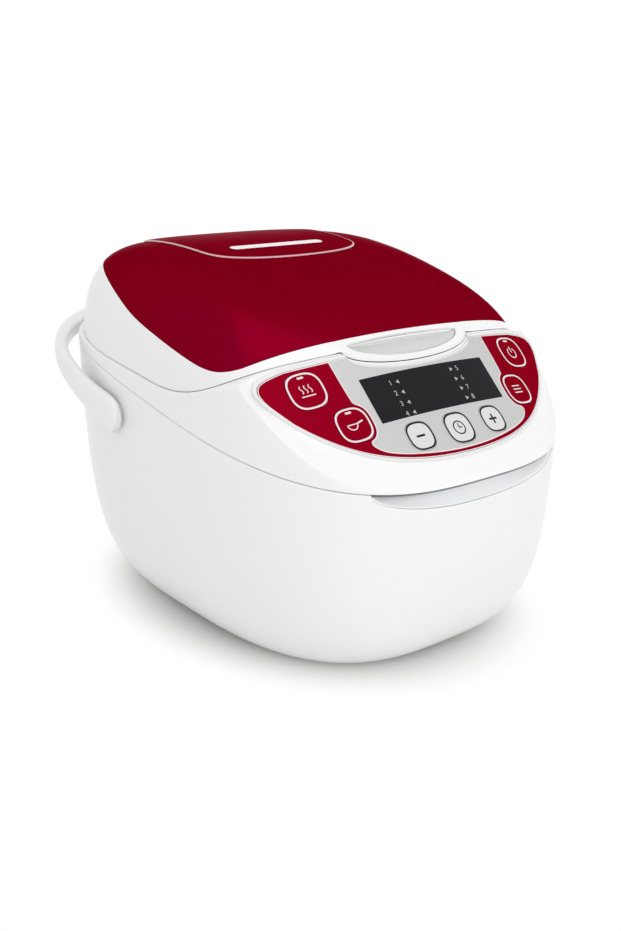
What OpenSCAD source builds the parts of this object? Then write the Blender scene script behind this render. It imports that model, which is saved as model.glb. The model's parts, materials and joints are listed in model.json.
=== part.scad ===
// Multicooker with a hinged lid, a sloping control panel and a swing handle.
// Millimetres. X is across the front, Y runs to the back, Z is up.

/* [Body] */
// Body beyond the lid at each side
body_side = 3; // [2:0.5:6]
// Body beyond the lid at the back
body_back = 10; // [9:0.5:14]
// Squareness of the body's plan
body_n = 3; // [2.8:0.1:3.2]
// Wall of the moulded shells
wall = 2.8; // [2.2:0.1:3.2]
// Underside of the body above the table
floor_z = 4; // [3:0.5:8]
// Height of the collar seam at the middle of the body
seam_z = 165.5; // [155:0.5:170]
// Rise of the collar seam toward the back, per millimetre
seam_slope = 0.193; // [0.17:0.001:0.2]
// Flattening of the collar seam at the back
seam_flat = 0.0008; // [0.0006:0.0001:0.001]
// Open line between the collar and the shell
seam_gap = 0.5; // [0.3:0.1:0.8]
// Width of the rounding under the body
round_w = 65; // [50:1:70]
// Draft of the lower wall
draft = 4; // [2:0.5:6]
// Width of the turned in flange under the body
flange_w = 11; // [10:0.5:14]

/* [Lid] */
// Middle of the lid and the pot, behind the middle of the body
lid_cy = 36; // [34:1:38]
// Lid beyond the pot at each side
lid_side = 25; // [24:0.5:28]
// Front edge of the lid behind the front of the body
front_room = 74.2; // [73:0.2:76]
// Lid beyond the pot at the back
lid_back = 22; // [21:0.5:24]
// Height of the parting line at the middle of the body
part_z = 180; // [178:0.5:184]
// Rise of the parting line toward the back, per millimetre
part_slope = 0.116; // [0.1:0.002:0.13]
// Upward sweep of the parting line at the front
part_rise = 39.05; // [37:0.05:41]
// Top of the lid's crown
crown_z = 258.5; // [255:0.5:262]
// Crown place behind the middle of the body
crown_y = 85; // [80:1:90]
// Slope that the lid's top tends to, away from its crown
crown_slope = 0.59; // [0.57:0.01:0.61]
// Open line between the lid and the collar
lid_gap = 0.7; // [0.5:0.1:1.2]
// Thickness of the lid's cover
cover_t = 2.4; // [2:0.1:2.8]
// Underside of the lid's tray
tray_z = 182; // [181:0.5:184]

/* [Pot] */
// Radius of the pot's outside
pot_r = 110; // [100:0.5:111]
// Wall of the pot
pot_wall = 2; // [1.5:0.1:3]
// Bottom of the pot
pot_bottom = 40; // [39:0.5:46]
// Seat of the pot's rim
ledge_z = 166; // [165:0.5:168]
// Width of the pot's rim
pot_rim = 8; // [7:0.5:9]
// Thickness of the pot's rim
rim_t = 2.4; // [2:0.1:2.6]

/* [Panel] */
// Height of the panel's middle
panel_z = 176.1; // [174:0.1:177]
// Panel middle behind the front of the body
panel_room = 42.5; // [41:0.5:43]
// Bend radius of the panel across its width
panel_R = 600; // [560:10:800]
// Body beyond the panel at each side
panel_side = 14; // [13:0.5:20]
// Bottom of the panel below its middle
panel_low = 44; // [42:0.5:45]
// Display window width
lcd_w = 110; // [90:1:112]
// Display window height
lcd_h = 32.5; // [26:0.5:33]
// Display window above the panel's middle
lcd_v = 7.1; // [6:0.1:8]
// Radius of the outer pair of keys
key_r_out = 12.8; // [10:0.1:13]
// Radius of the middle pair of keys
key_r_mid = 12; // [9:0.1:12.4]
// Radius of the plus and minus keys
key_r_in = 10.2; // [8:0.1:11]
// Radius of the timer key
key_r_timer = 11.4; // [9:0.1:12]
// Key travel
key_travel = 0.8; // [0.5:0.1:1]
// Clearance round each key
key_gap = 0.35; // [0.3:0.05:0.6]
// Circuit board behind the panel
board_w = 16; // [15:0.5:17]

/* [Handle] */
// Pivot behind the middle of the body
pivot_y = 41; // [36:1:46]
// Pivot height
pivot_z = 150; // [144:1:154]
// Middle of the bail beyond the back of the body, when level
bail_room = 20; // [18:0.5:25]
// Angle of the folded bail above level
bail_rest = 16; // [14:0.5:18]
// Thickness of a handle arm
arm_t = 7.6; // [6:0.1:9]
// Space between arm and body
arm_gap = 1.6; // [1:0.1:3]
// Radius of the pivot stub
stub_r = 7; // [5:0.5:8]
// Running clearance of the stub
stub_clear = 0.06; // [0.03:0.01:0.1]

/* [Hinge and latch] */
// Hinge axis behind the edge of the lid
hinge_back = 1.5; // [1:0.5:3]
// Hinge axis height
hinge_z = 206.5; // [205:0.5:208]
// Radius of the hinge pin
hinge_r = 2.5; // [2:0.1:3]
// Running clearance of the hinge
hinge_clear = 0.05; // [0.03:0.01:0.1]
// Half width of the release button
button_a = 49; // [42:0.5:50]
// Depth of the button's lower curve
button_low = 15; // [12:0.5:16]
// Button travel
button_travel = 2.5; // [1.5:0.1:3]
// Latch pivot radius
latch_r = 2; // [1.5:0.1:2.5]

/* [Hidden] */
$fn = 48;
N = 80;

lid_a = pot_r + lid_side;
lid_br = pot_r + lid_back;
body_a = lid_a + body_side;
body_b = lid_cy + lid_br + body_back;
lid_bf = lid_cy + body_b - front_room;
panel_y = body_b - panel_room;
panel_a = body_a - panel_side;
hinge_y = lid_cy + lid_br + hinge_back;
bail_r = body_b - pivot_y + bail_room;
pan_tilt = 45;
lid_nf = 7.6;
lid_nr = 2.6;
dome_p = 8;
dome_q = 2;
dome_qf = 1.15;
crown_c = 128;
bow = 1 / 1550;
bump_a = 56;
bump_d = 10.8;
front_y = lid_cy - lid_bf;
rim_w = 3;
fit = 0.4;
seat_cy = lid_cy - 46;
seat_a = lid_a - 4;
seat_bf = seat_cy - front_y - 9.3;
seat_br = lid_cy + lid_br - 20 - seat_cy;
seat_nf = 6.6;
seat_nr = 2.7;
bail_x = body_a + arm_gap + arm_t / 2;
bail_half = 7.5;
bail_thick = 6.5;
back_y = pivot_y + (bail_r + bail_half * pow(cos(15), 0.6)) * cos(bail_rest) + bail_thick * pow(sin(15), 0.6) * sin(bail_rest);
body_y = (body_b - back_y) / 2;
liner_in = pot_r + 4;
liner_out = liner_in + 1;
plate_r = pot_r - 22;
plate_z = pot_bottom - 0.1;
base_z = floor_z + wall + 0.1;
base_t = 2.5;
base_inset = 34;

// Small helpers
function spow(v, e) = sign(v) * pow(abs(v), e);
function mix(a, b, f) = a + (b - a) * f;
function unit2(v) = v / norm(v);
function ease(f) = let (c = min(1, max(0, f))) c * c * (3 - 2 * c);

// Seam, parting line and deck heights
function seam(y) = seam_z + seam_slope * y - seam_flat * pow(max(0, y - 40), 2);
function parting(y) = part_z + part_slope * y + part_rise * pow(min(0, y + 5) / (front_y + 5), 2);
function sag(x) = panel_R - sqrt(panel_R * panel_R - x * x);
function deck(x, y) = panel_z + (y + panel_y) - sag(x) / cos(pan_tilt);

// Plan of the body, point i of the ring, with an inset
function plan(i, d) = let (t = 360 * i / N)
    [(body_a - d) * spow(cos(t), 2 / body_n), (body_b - d) * spow(sin(t), 2 / body_n)];
function wall_y(x, d) = -(body_b - d) * pow(max(0, 1 - pow(abs(x) / (body_a - d), body_n)), 1 / body_n);
function wall_x(y, d) = (body_a - d) * pow(max(0, 1 - pow(abs(y) / (body_b - d), body_n)), 1 / body_n);

// Inset of the lower wall, u is 0 at the seam and 1 at the floor
function inset(u) = let (v = 0.97 * u, k = 3.58)
    round_w * (1 - pow(1 - pow(v, k), 1 / k)) + draft * v;

// Lid plan: size of the point as a share of the lid's edge
function lid_s(x, y) = y < lid_cy
    ? let (f = (lid_cy - y) / lid_bf, q = (lid_cy - y + bow * x * x * pow(f, 4)) / lid_bf,
            m = min(1, max(abs(x) / lid_a, q)), n = mix(lid_nr, lid_nf, sqrt(m)))
        pow(pow(abs(x) / lid_a, n) + pow(q, n), 1 / n)
    : pow(pow(abs(x) / lid_a, lid_nr) + pow((y - lid_cy) / lid_br, lid_nr), 1 / lid_nr);
function edge_r(d, r, k) = k == 0 ? r : edge_r(d, r / lid_s(d[0] * r, lid_cy + d[1] * r), k - 1);
function edge_dir(i) = unit2(plan(i, 0) - [0, lid_cy]);
function edge(i) = let (d = edge_dir(i)) [0, lid_cy] + d * edge_r(d, 130, 8);
function bump(x) = abs(x) < bump_a ? bump_d * sqrt(1 - pow(x / bump_a, 2)) : 0;
function front_line(x) = front_y + bow * x * x - bump(x);

// Lid surface
function crown(y) = crown_z + crown_c - sqrt(crown_c * crown_c + pow(crown_slope * (y - crown_y), 2));
function dome_g(s, y) = pow(max(0, 1 - pow(min(s, 1), dome_p)), 1 / mix(dome_q, dome_qf, ease((front_y + 123.8 - y) / 110)));
function dome(x, y) = let (s = max(0.02, lid_s(x, y)), g = dome_g(s, y))
    mix(parting(lid_cy + (y - lid_cy) / s) + lid_gap, crown(y), g);

// Edge of the cover in the lid
function seat_s(x, y) = let (n = y < seat_cy ? seat_nf : seat_nr, q = abs(y - seat_cy) / (y < seat_cy ? seat_bf : seat_br))
    pow(pow(abs(x) / seat_a, n) + pow(q, n), 1 / n);
function seat_r(d, r, k) = k == 0 ? r : seat_r(d, r / pow(seat_s(d[0] * r, lid_cy + d[1] * r), 0.75), k - 1);

// Solids from rings of points
function ring_faces(n, m, wrap) = [for (j = [0 : wrap ? m - 1 : m - 2]) for (i = [0 : n - 1])
    let (k = (i + 1) % n, a = j * n, b = ((j + 1) % m) * n)
        for (f = [[a + i, b + i, b + k], [a + i, b + k, a + k]]) f];
function pole_faces(n, m) = [for (i = [0 : n - 1]) let (k = (i + 1) % n)
    for (f = [[i, k, n * m], [(m - 1) * n + i, n * m + 1, (m - 1) * n + k]]) f];
function flat(rings) = [for (r = rings) for (p = r) p];

module tube(rings) {
    n = len(rings[0]);
    polyhedron(flat(rings), ring_faces(n, len(rings), true), convexity = 8);
}

module lump(rings, low, high) {
    n = len(rings[0]);
    polyhedron(concat(flat(rings), [low, high]),
        concat(ring_faces(n, len(rings), false), pole_faces(n, len(rings))), convexity = 8);
}

module at_body() { translate([0, body_y, 0]) children(); }
module at_pot() { at_body() translate([0, lid_cy, 0]) children(); }

// Outer shell
function shell_ring(u, more, lift) = [for (i = [0 : N - 1])
    let (p = plan(i, 0), q = plan(i, inset(u) + more), z = floor_z + (seam(p[1]) - floor_z) * (1 - u))
        [q[0], q[1], z + lift]];
grip_a = 84;
grip_h = 13;
grip_up = 1.6;
grip_lip = 1.4;
grip_z = seam(-body_b) + grip_up;
inlet_z = 80;
inlet_w = 28;
inlet_h = 20;
function back_wall(z) = body_b - inset(1 - (z - floor_z) / (seam(body_b) - floor_z));
inlet_tilt = atan((back_wall(inlet_z + 14) - back_wall(inlet_z - 14)) / 28);
module at_inlet() { translate([0, back_wall(inlet_z) + 0.1, inlet_z]) rotate([-inlet_tilt, 0, 0]) children(); }
function screw_spots() = [for (sx = [-1, 1]) for (sy = [-1, 1])
    let (d = inset(1) + flange_w / 2) [sx * (body_a - d) * spow(cos(45), 2 / body_n), sy * (body_b - d) * spow(sin(45), 2 / body_n)]];

module outer_shell() {
    color("white") at_body() difference() {
        tube(concat(
            [shell_ring(1, flange_w, 0)],
            [for (u = [1, 0.97, 0.94, 0.9, 0.84, 0.77, 0.68, 0.56, 0.42, 0.26, 0.12, 0]) shell_ring(u, 0, 0)],
            [for (u = [0, 0.2, 0.42, 0.6, 0.74, 0.85, 0.93, 1]) shell_ring(u * 0.985, wall, wall * pow(u, 4))],
            [shell_ring(1, 1.5, wall), shell_ring(1, flange_w, wall)]));
        for (s = [-1, 1]) translate([s * body_a, pivot_y, pivot_z]) rotate([0, 90, 0])
            cylinder(r = stub_r + stub_clear, h = 40, center = true);
        at_inlet() cube([inlet_w + 0.6, 60, inlet_h + 0.6], center = true);
        for (p = screw_spots()) translate([p[0], p[1], floor_z - 1]) cylinder(r = 2.2, h = wall + 4);
        translate([0, -body_b + 30, grip_z]) rotate([90, 0, 0]) linear_extrude(60)
            polygon([for (k = [0 : 24]) let (t = 180 + 7.5 * k) [grip_a * cos(t), (grip_h + grip_up) * sin(t)]]);
    }
}

// Finger cup under the collar
function cup_ring(k, d, grow) = [for (i = [0 : 31]) let (t = 360 * i / 32,
        x = (grip_a - fit + grow) * k * cos(t), top = seam(wall_y(x, 0)) - grip_lip)
    [x, wall_y(grip_a * cos(t), 1) + d, sin(t) < 0 ? min(top, grip_z + (grip_h + grip_up - fit + grow) * k * sin(t)) : top + (fit + grow) * sin(t)]];
cup_d = 17;
module grip_cup() {
    color("lightgray") at_body()
        lump([cup_ring(0.8, cup_d + 1.6, 0), cup_ring(0.97, cup_d * 0.7, 0), cup_ring(1, 0.4, 0),
            cup_ring(0.96, 0.2, -0.9), cup_ring(0.9, cup_d * 0.62, -1.5), cup_ring(0.72, cup_d, -1.6)],
            [0, -body_b + cup_d + 2.6, seam(-body_b) - 5], [0, -body_b + cup_d + 1, seam(-body_b) - 5]);
}

// Base plate, feet and screws
function base_pts(d) = [for (i = [0 : N - 1]) plan(i, base_inset + 3 + d)];
foot_r = 10;
function feet_spots() = [for (sx = [-1, 1]) for (sy = [-1, 1]) [sx * (body_a - base_inset - 42), sy * (body_b - base_inset - 49)]];
post_top = 20;
pw_w = 110;
pw_d = 44;
pw_y = -body_b + 72;
function pw_spots() = [for (sx = [-1, 1]) for (sy = [-1, 1]) [sx * (pw_w / 2 - 5), pw_y + sy * (pw_d / 2 - 5)]];
sup_r = plate_r - 10;
function sup_spots() = [for (k = [0 : 2]) [sup_r * cos(90 + 120 * k), lid_cy + sup_r * sin(90 + 120 * k)]];

module base_plate() {
    color("gainsboro") at_body() difference() {
        union() {
            translate([0, 0, base_z]) linear_extrude(base_t) polygon(base_pts(0));
            for (p = screw_spots()) translate([p[0], p[1], base_z]) cylinder(r = 4.5, h = 9);
            for (p = pw_spots()) translate([p[0], p[1], base_z]) cylinder(r = 3.5, h = post_top - base_z);
        }
        for (p = screw_spots()) translate([p[0], p[1], base_z - 1]) cylinder(r = 1.55, h = 9);
        for (p = pw_spots()) translate([p[0], p[1], post_top - 7]) cylinder(r = 1.05, h = 8);
        for (k = [-3 : 3]) translate([k * 14, lid_cy + 60, base_z + 1]) cube([5, 40, 8], center = true);
    }
}

module feet() {
    color("dimgray") at_body() for (p = feet_spots()) translate([p[0], p[1], 0]) {
        cylinder(r = foot_r, h = base_z - 0.1);
    }
}

module base_screws() {
    color("silver") at_body() for (p = screw_spots()) translate([p[0], p[1], 0]) {
        translate([0, 0, floor_z - 2]) cylinder(r = 3.4, h = 2);
        translate([0, 0, floor_z - 0.5]) cylinder(r = 1.5, h = 10);
    }
}

// Top collar
function collar_edge(i) = let (e = edge(i)) e[1] < lid_cy - 0.7 * lid_bf ? [e[0], e[1] - bump(e[0])] : e;
function collar_z(i) = let (e = collar_edge(i)) min(parting(edge(i)[1]), deck(e[0], e[1]));
function collar_in(i, d) = collar_edge(i) - edge_dir(i) * d;
function collar_top(i, p) = min(deck(p[0], p[1]), collar_z(i));
function corner_z(i) = max(seam(plan(i, 0)[1]) + seam_gap + 1.4, collar_top(i, plan(i, 0)));
function corner_r(i) = let (p = plan(i, 0), e = collar_edge(i))
    min(6, 0.75 * (corner_z(i) - seam(p[1]) - seam_gap), 0.7 * norm(p - e));
function collar_round(i, t) = let (p = plan(i, 0), r = corner_r(i), q = p - edge_dir(i) * r * (1 - cos(t)))
    [q[0], q[1], mix(corner_z(i), collar_top(i, q), 1 - cos(t)) - r * (1 - sin(t))];
function collar_deck(i, f) = let (p = plan(i, 0), e = collar_edge(i), q0 = p - edge_dir(i) * corner_r(i), q = mix(q0, e, f))
    [q[0], q[1], collar_top(i, q)];
function pot_pt(i, r) = let (e = unit2(collar_edge(i) - [0, lid_cy])) [0, lid_cy] + e * r;
function lift3(p, z) = [p[0], p[1], z];
hole_r = pot_r + 4.5;
module collar_body() {
    tube([
        [for (i = [0 : N - 1]) lift3(plan(i, wall), seam(plan(i, 0)[1]) + seam_gap)],
        [for (i = [0 : N - 1]) lift3(plan(i, 0), seam(plan(i, 0)[1]) + seam_gap)],
        [for (i = [0 : N - 1]) collar_round(i, 0)],
        [for (i = [0 : N - 1]) collar_round(i, 30)],
        [for (i = [0 : N - 1]) collar_round(i, 60)],
        [for (i = [0 : N - 1]) collar_deck(i, 0)],
        [for (i = [0 : N - 1]) collar_deck(i, 0.33)],
        [for (i = [0 : N - 1]) collar_deck(i, 0.67)],
        [for (i = [0 : N - 1]) collar_deck(i, 1)],
        [for (i = [0 : N - 1]) lift3(collar_in(i, rim_w), collar_z(i) - 0.3)],
        [for (i = [0 : N - 1]) lift3(collar_in(i, rim_w + 4), ledge_z)],
        [for (i = [0 : N - 1]) lift3(pot_pt(i, hole_r), ledge_z)],
        [for (i = [0 : N - 1]) lift3(pot_pt(i, hole_r), ledge_z - wall)],
        [for (i = [0 : N - 1]) lift3(collar_in(i, rim_w + 1.6), ledge_z - wall)],
        [for (i = [0 : N - 1]) lift3(collar_in(i, 1), collar_z(i) - 6)]]);
}

module on_panel() { at_body() translate([0, -panel_y, panel_z]) rotate([pan_tilt, 0, 0]) children(); }
module bend(w) { translate([0, 0, -panel_R]) rotate([90, 0, 0]) cylinder(r = panel_R + w, h = 240, center = true, $fn = 96); }
module sheet(w0, w1, pts) {
    difference() {
        intersection() { translate([0, 0, -32]) linear_extrude(50) polygon(pts); bend(w1); }
        bend(w0);
    }
}
module spot(u, v) { on_panel() translate([0, 0, -panel_R]) rotate([0, asin(u / panel_R), 0]) translate([0, v, panel_R]) children(); }

// Panel outline, drawn in by d
film_in = 2.4;
function pan_low(x) = -panel_low + 0.00205 * x * x + 0.000000145 * pow(x, 4);
function pan_top(x) = (front_line(x) + panel_y) / cos(pan_tilt) - sag(x) - 1.8;
function film_top(x) = -4 + (pan_top(x * panel_a / (panel_a - film_in)) + 4) * (40 - film_in) / 40;
function pan_half() = concat(
    [for (x = [0 : 9.5 : 114]) [x, pan_low(x)]],
    [[panel_a - 4, 17.6], [panel_a, 25.2], [panel_a + 1.6, 30.6], [panel_a + 1.8, 35], [panel_a, 38.6], [panel_a - 3, 40.6], [panel_a - 8, 42], [panel_a - 14, 43]],
    [for (x = [104 : -8 : 0]) [x, pan_top(x)]]);
function mirrored(h) = concat(h, [for (k = [len(h) - 1 : -1 : 0]) if (h[k][0] > 0.01) [-h[k][0], h[k][1]]]);
function pan_pts(d) = mirrored([for (p = pan_half()) [p[0] * (panel_a - d) / panel_a, -4 + (p[1] + 4) * (40 - d) / 40]]);
function ins_pts(d) = mirrored(concat(
    [for (j = [0 : 5]) let (x = (ins_a - 19) * j / 5) [x, -38.6 + 0.0025 * x * x - d]],
    [[ins_a - 9 + d, -29 - d], [ins_a - 3.6 + d, -25.8 - d], [ins_a + d, -21.6 - 0.5 * d]],
    [for (t = [255 : -15 : 120]) [key_u_mid + (key_r_mid + 2.2 - d) * spow(cos(t), 2 / key_n), key_v_mid + (key_r_mid + 2.2 - d) * spow(sin(t), 2 / key_n)]],
    [[ins_a - 1.1 + d, 9.6], [ins_a + d, film_top(ins_a) + 20 * d]],
    [for (j = [8 : -1 : 0]) let (x = (ins_a - 5) * j / 8) [x, film_top(x) + 20 * d]]));
ins_a = lcd_w / 2 + 14;
key_u_mid = lcd_w / 2 + 19.4;
key_u_out = lcd_w / 2 + 38;
key_v_mid = -5;
key_n = 2.8;
function key_pts(r) = [for (i = [0 : 31]) let (t = 11.25 * i) [r * spow(cos(t), 2 / key_n), r * spow(sin(t), 2 / key_n)]];
keys = [["keep_warm_key", -key_u_out, 25, key_r_out], ["fry_key", -key_u_mid, key_v_mid, key_r_mid], ["minus_key", -33, -23.6, key_r_in],
    ["timer_key", 0, -24.6, key_r_timer], ["plus_key", 33, -23.6, key_r_in], ["menu_key", key_u_mid, key_v_mid, key_r_mid], ["power_key", key_u_out, 25, key_r_out]];
module key_holes(list, grow) { for (k = list) spot(k[1], k[2]) translate([0, 0, -4]) linear_extrude(8) polygon(key_pts(k[3] + grow)); }
function lcd_pts(d) = [[-lcd_w / 2 - d, lcd_v - lcd_h / 2 - d], [lcd_w / 2 + d, lcd_v - lcd_h / 2 - d], [lcd_w / 2 + d, lcd_v + lcd_h / 2 + d], [-lcd_w / 2 - d, lcd_v + lcd_h / 2 + d]];

module top_collar() {
    color("white") difference() {
        at_body() collar_body();
        on_panel() sheet(-1.6, 9, pan_pts(-0.35));
        on_panel() translate([0, 0, -17]) linear_extrude(20) polygon(pan_pts(6));
        on_panel() translate([0, 0, -board_w - bd_t - 2.4]) linear_extrude(5) polygon(board_pts(0.8));
        for (k = keys) spot(k[1], k[2]) translate([0, 0, -14]) linear_extrude(16) polygon(key_pts(k[3] + key_lip + fit));
    }
}

module panel_trim() {
    color("silver") difference() {
        on_panel() difference() {
            sheet(-1.5, 1, pan_pts(0));
            sheet(-0.3, 3, pan_pts(film_in - 0.2));
            translate([0, 0, -10]) linear_extrude(14) polygon(lcd_pts(-2));
        }
        key_holes(keys, key_gap);
    }
}

module panel_fascia() {
    color("darkred") difference() {
        on_panel() difference() {
            sheet(-0.2, 0.7, pan_pts(film_in));
            translate([0, 0, -12]) linear_extrude(20) polygon(ins_pts(0.15));
        }
        key_holes([keys[0], keys[1], keys[5], keys[6]], key_gap);
    }
}

module panel_insert() {
    color("silver") difference() {
        on_panel() difference() {
            sheet(-0.2, 0.7, ins_pts(0));
            translate([0, 0, -12]) linear_extrude(20) polygon(lcd_pts(0.1));
        }
        key_holes([keys[2], keys[3], keys[4]], key_gap);
    }
}

module display_window() { color("black") on_panel() sheet(-0.2, 0.75, lcd_pts(0)); }

lcd_back = 5;
module display_module() {
    color("darkslategray") on_panel() translate([-lcd_w / 2 + 6, lcd_v - lcd_h / 2 + 2, -sag(lcd_w / 2) - 1.8 - lcd_back])
        cube([lcd_w - 12, lcd_h - 6, lcd_back]);
}

// Board: a low middle with a wing up each side
bd_t = 1.6;
function board_pts(d) = [for (s = [1, -1]) for (p = s > 0
    ? [[9 + d, -34 - d], [37 + d, -12 - d], [51 + d, 8 - d], [51 + d, 26 + d], [15 - d, 26 + d], [11 - d, 5 + d]]
    : [[11 - d, 5 + d], [15 - d, 26 + d], [51 + d, 26 + d], [51 + d, 8 - d], [37 + d, -12 - d], [9 + d, -34 - d]]) [s * (lcd_w / 2 + p[0]), p[1]]];
board_x = lcd_w / 2 - 3;
module control_board() {
    color("green") on_panel() difference() {
        translate([0, 0, -board_w - bd_t]) linear_extrude(bd_t) polygon(board_pts(0));
        for (x = [-board_x, board_x]) translate([x, -2, -30]) cylinder(r = 1.6, h = 30);
    }
}

// Posts that hold the display on the board
module board_screws() {
    color("silver") on_panel() for (x = [-board_x, board_x]) translate([x, -2, 0]) {
        translate([0, 0, -board_w - bd_t - 1.9]) cylinder(r = 2.8, h = 1.8);
        translate([0, 0, -board_w - bd_t - 0.5]) cylinder(r = 1.5, h = board_w + bd_t - sag(lcd_w / 2) - lcd_back - 1.5);
    }
}

key_lip = 1.2;
stem_r = 2.4;
function stem_w(k) = -(board_w - sag(k[1])) / cos(asin(k[1] / panel_R)) + 3.9 + stem_r * abs(k[1]) / panel_R;
module key(k) {
    color(abs(k[1]) < 60 ? "silver" : "darkred") spot(k[1], k[2]) {
        translate([0, 0, -1.9]) linear_extrude(2.9) polygon(key_pts(k[3]));
        translate([0, 0, -3.4]) linear_extrude(1.51) polygon(key_pts(k[3] + key_lip));
        translate([0, 0, stem_w(k) + key_travel]) cylinder(r = stem_r, h = -stem_w(k) - key_travel - 3.3);
    }
}
module keep_warm_key() { key(keys[0]); }
module fry_key() { key(keys[1]); }
module minus_key() { key(keys[2]); }
module timer_key() { key(keys[3]); }
module plus_key() { key(keys[4]); }
module menu_key() { key(keys[5]); }
module power_key() { key(keys[6]); }

module key_switches() {
    color("dimgray") on_panel() for (k = keys) translate([(panel_R - board_w) * k[1] / panel_R, k[2], -board_w]) {
        translate([-3, -3, 0]) cube([6, 6, 2.4]);
        translate([0, 0, 2.3]) cylinder(r = 1.7, h = 1);
    }
}

// Heater, sensor and liner
module inner_liner() {
    color("lightsteelblue") at_pot() rotate_extrude()
        polygon([[liner_in - 12, 24], [liner_out, 24], [liner_out, ledge_z - wall - 0.4], [liner_in, ledge_z - wall - 0.4], [liner_in, 25], [liner_in - 12, 25]]);
}
plate_t = 9.9;
sense_r = 16.5;
module heating_plate() {
    color("darkgray") at_pot() rotate_extrude()
        polygon([[sense_r + 1.5, plate_z - plate_t], [plate_r - 3, plate_z - plate_t], [plate_r, plate_z - plate_t + 3], [plate_r, plate_z - 1], [plate_r - 1, plate_z], [sense_r + 2.5, plate_z], [sense_r + 1.5, plate_z - 1]]);
}
ring_R = plate_r - 28;
tube_r = 3.8;
module heater_ring() { color("gray") at_pot() translate([0, 0, plate_z - plate_t - tube_r]) rotate_extrude() translate([ring_R, 0]) circle(r = tube_r); }
module heater_terminals() {
    color("silver") at_pot() for (s = [-1, 1]) translate([s * 14, -sqrt(ring_R * ring_R - 196), plate_z - plate_t - 2 * tube_r - 7]) cylinder(r = 2.5, h = 6.95);
}
module heater_supports() {
    color("darkgray") at_body() for (p = sup_spots()) translate([p[0], p[1], base_z + base_t]) cylinder(r = 5, h = plate_z - plate_t - base_z - base_t);
}
cap_top = pot_bottom - 0.5;
brk_z = 19;
module sensor_cap() {
    color("silver") at_pot() rotate_extrude()
        polygon([[0, cap_top - 2], [sense_r - 2, cap_top - 2], [sense_r - 2, cap_top - 7], [sense_r, cap_top - 7], [sense_r, cap_top - 1], [sense_r - 1, cap_top], [0, cap_top]]);
}
module sensor_bracket() {
    color("gray") at_pot() rotate_extrude()
        polygon([[4, brk_z], [sense_r + 6, brk_z], [sense_r + 6, plate_z - plate_t - 0.1], [sense_r + 4.6, plate_z - plate_t - 0.1], [sense_r + 4.6, brk_z + 1.4], [4, brk_z + 1.4]]);
}
module thermal_fuse() { color("white") at_pot() translate([0, 12, brk_z - 3.1]) rotate([0, 90, 0]) cylinder(r = 3, h = 18, center = true); }

// Coil springs
function coil_ring(R, r, turns, h, k, m) = let (a = 360 * turns * k / m, z = h * k / m)
    [for (q = [0 : 5]) let (b = 60 * q, rr = R + r * cos(b)) [rr * cos(a), rr * sin(a), z - r * sin(b)]];
function coil_at(R, turns, h, k, m) = let (a = 360 * turns * k / m) [R * cos(a), R * sin(a), h * k / m];
function coil_gap(R, r, turns, h, m) = min([for (k = [0 : m - 8]) for (j = [k + 8 : m])
    norm(coil_at(R, turns, h, k, m) - coil_at(R, turns, h, j, m))]) - 2 * r;
module coil(R, r, turns, h) {
    m = turns * 14;
    echo(str("coil gap ", coil_gap(R, r, turns, h, m)));
    rings = [for (k = [0 : m]) coil_ring(R, r, turns, h, k, m)];
    lump(rings, [R, 0, 0], [R * cos(360 * turns), R * sin(360 * turns), h]);
}
module sensor_spring() { color("silver") at_pot() translate([0, 0, brk_z + 1.4 + 0.9]) coil(10, 0.8, 4, cap_top - 2 - brk_z - 1.4 - 1.9); }

// Power board and inlet
module power_board() {
    color("tan") at_body() difference() {
        translate([-pw_w / 2, pw_y - pw_d / 2, post_top + 0.05]) cube([pw_w, pw_d, 1.6]);
        for (p = pw_spots()) translate([p[0], p[1], post_top - 1]) cylinder(r = 1.7, h = 6);
    }
}
module power_parts() {
    color("dimgray") at_body() translate([0, pw_y, post_top + 1.7]) {
        translate([-38, -12, 0]) cube([30, 24, 26]);
        translate([2, -10, 0]) cube([19, 15, 15]);
        translate([32, 8, 0]) cylinder(r = 6, h = 18);
        translate([34, -9, 0]) cylinder(r = 5, h = 12);
    }
}
module power_screws() {
    color("silver") at_body() for (p = pw_spots()) translate([p[0], p[1], post_top + 1.75]) {
        cylinder(r = 2.6, h = 1.8);
        translate([0, 0, -7]) cylinder(r = 1, h = 7.5);
    }
}
inlet_d = 15;
module inlet_socket() {
    color("black") at_body() at_inlet() difference() {
        union() {
            translate([-inlet_w / 2, -inlet_d, -inlet_h / 2]) cube([inlet_w, inlet_d + 1, inlet_h]);
            translate([-inlet_w / 2 - 4, 0, -inlet_h / 2 - 4]) cube([inlet_w + 8, 2, inlet_h + 8]);
        }
        translate([-inlet_w / 2 + 3, 3 - inlet_d, -inlet_h / 2 + 3]) cube([inlet_w - 6, inlet_d + 2, inlet_h - 6]);
    }
}
module inlet_pins() {
    color("silver") at_body() at_inlet() for (x = [-6, 6]) translate([x - 1, 3 - inlet_d, -2.5]) cube([2, inlet_d - 5, 5]);
}

// Cooking pot
module cooking_pot() {
    z1 = ledge_z + 0.05;
    c = 14;
    color("dimgray") at_pot() rotate_extrude()
        polygon(concat([[0, pot_bottom], [pot_r - c, pot_bottom]],
            [for (t = [-75 : 15 : -15]) [pot_r - c + c * cos(t), pot_bottom + c + c * sin(t)]],
            [[pot_r, pot_bottom + c], [pot_r, z1], [pot_r + pot_rim, z1], [pot_r + pot_rim, z1 + rim_t], [pot_r - pot_wall, z1 + rim_t], [pot_r - pot_wall, pot_bottom + c]],
            [for (t = [-15 : -15 : -75]) [pot_r - c + (c - pot_wall) * cos(t), pot_bottom + c + (c - pot_wall) * sin(t)]],
            [[pot_r - c, pot_bottom + pot_wall], [0, pot_bottom + pot_wall]]));
}

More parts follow.
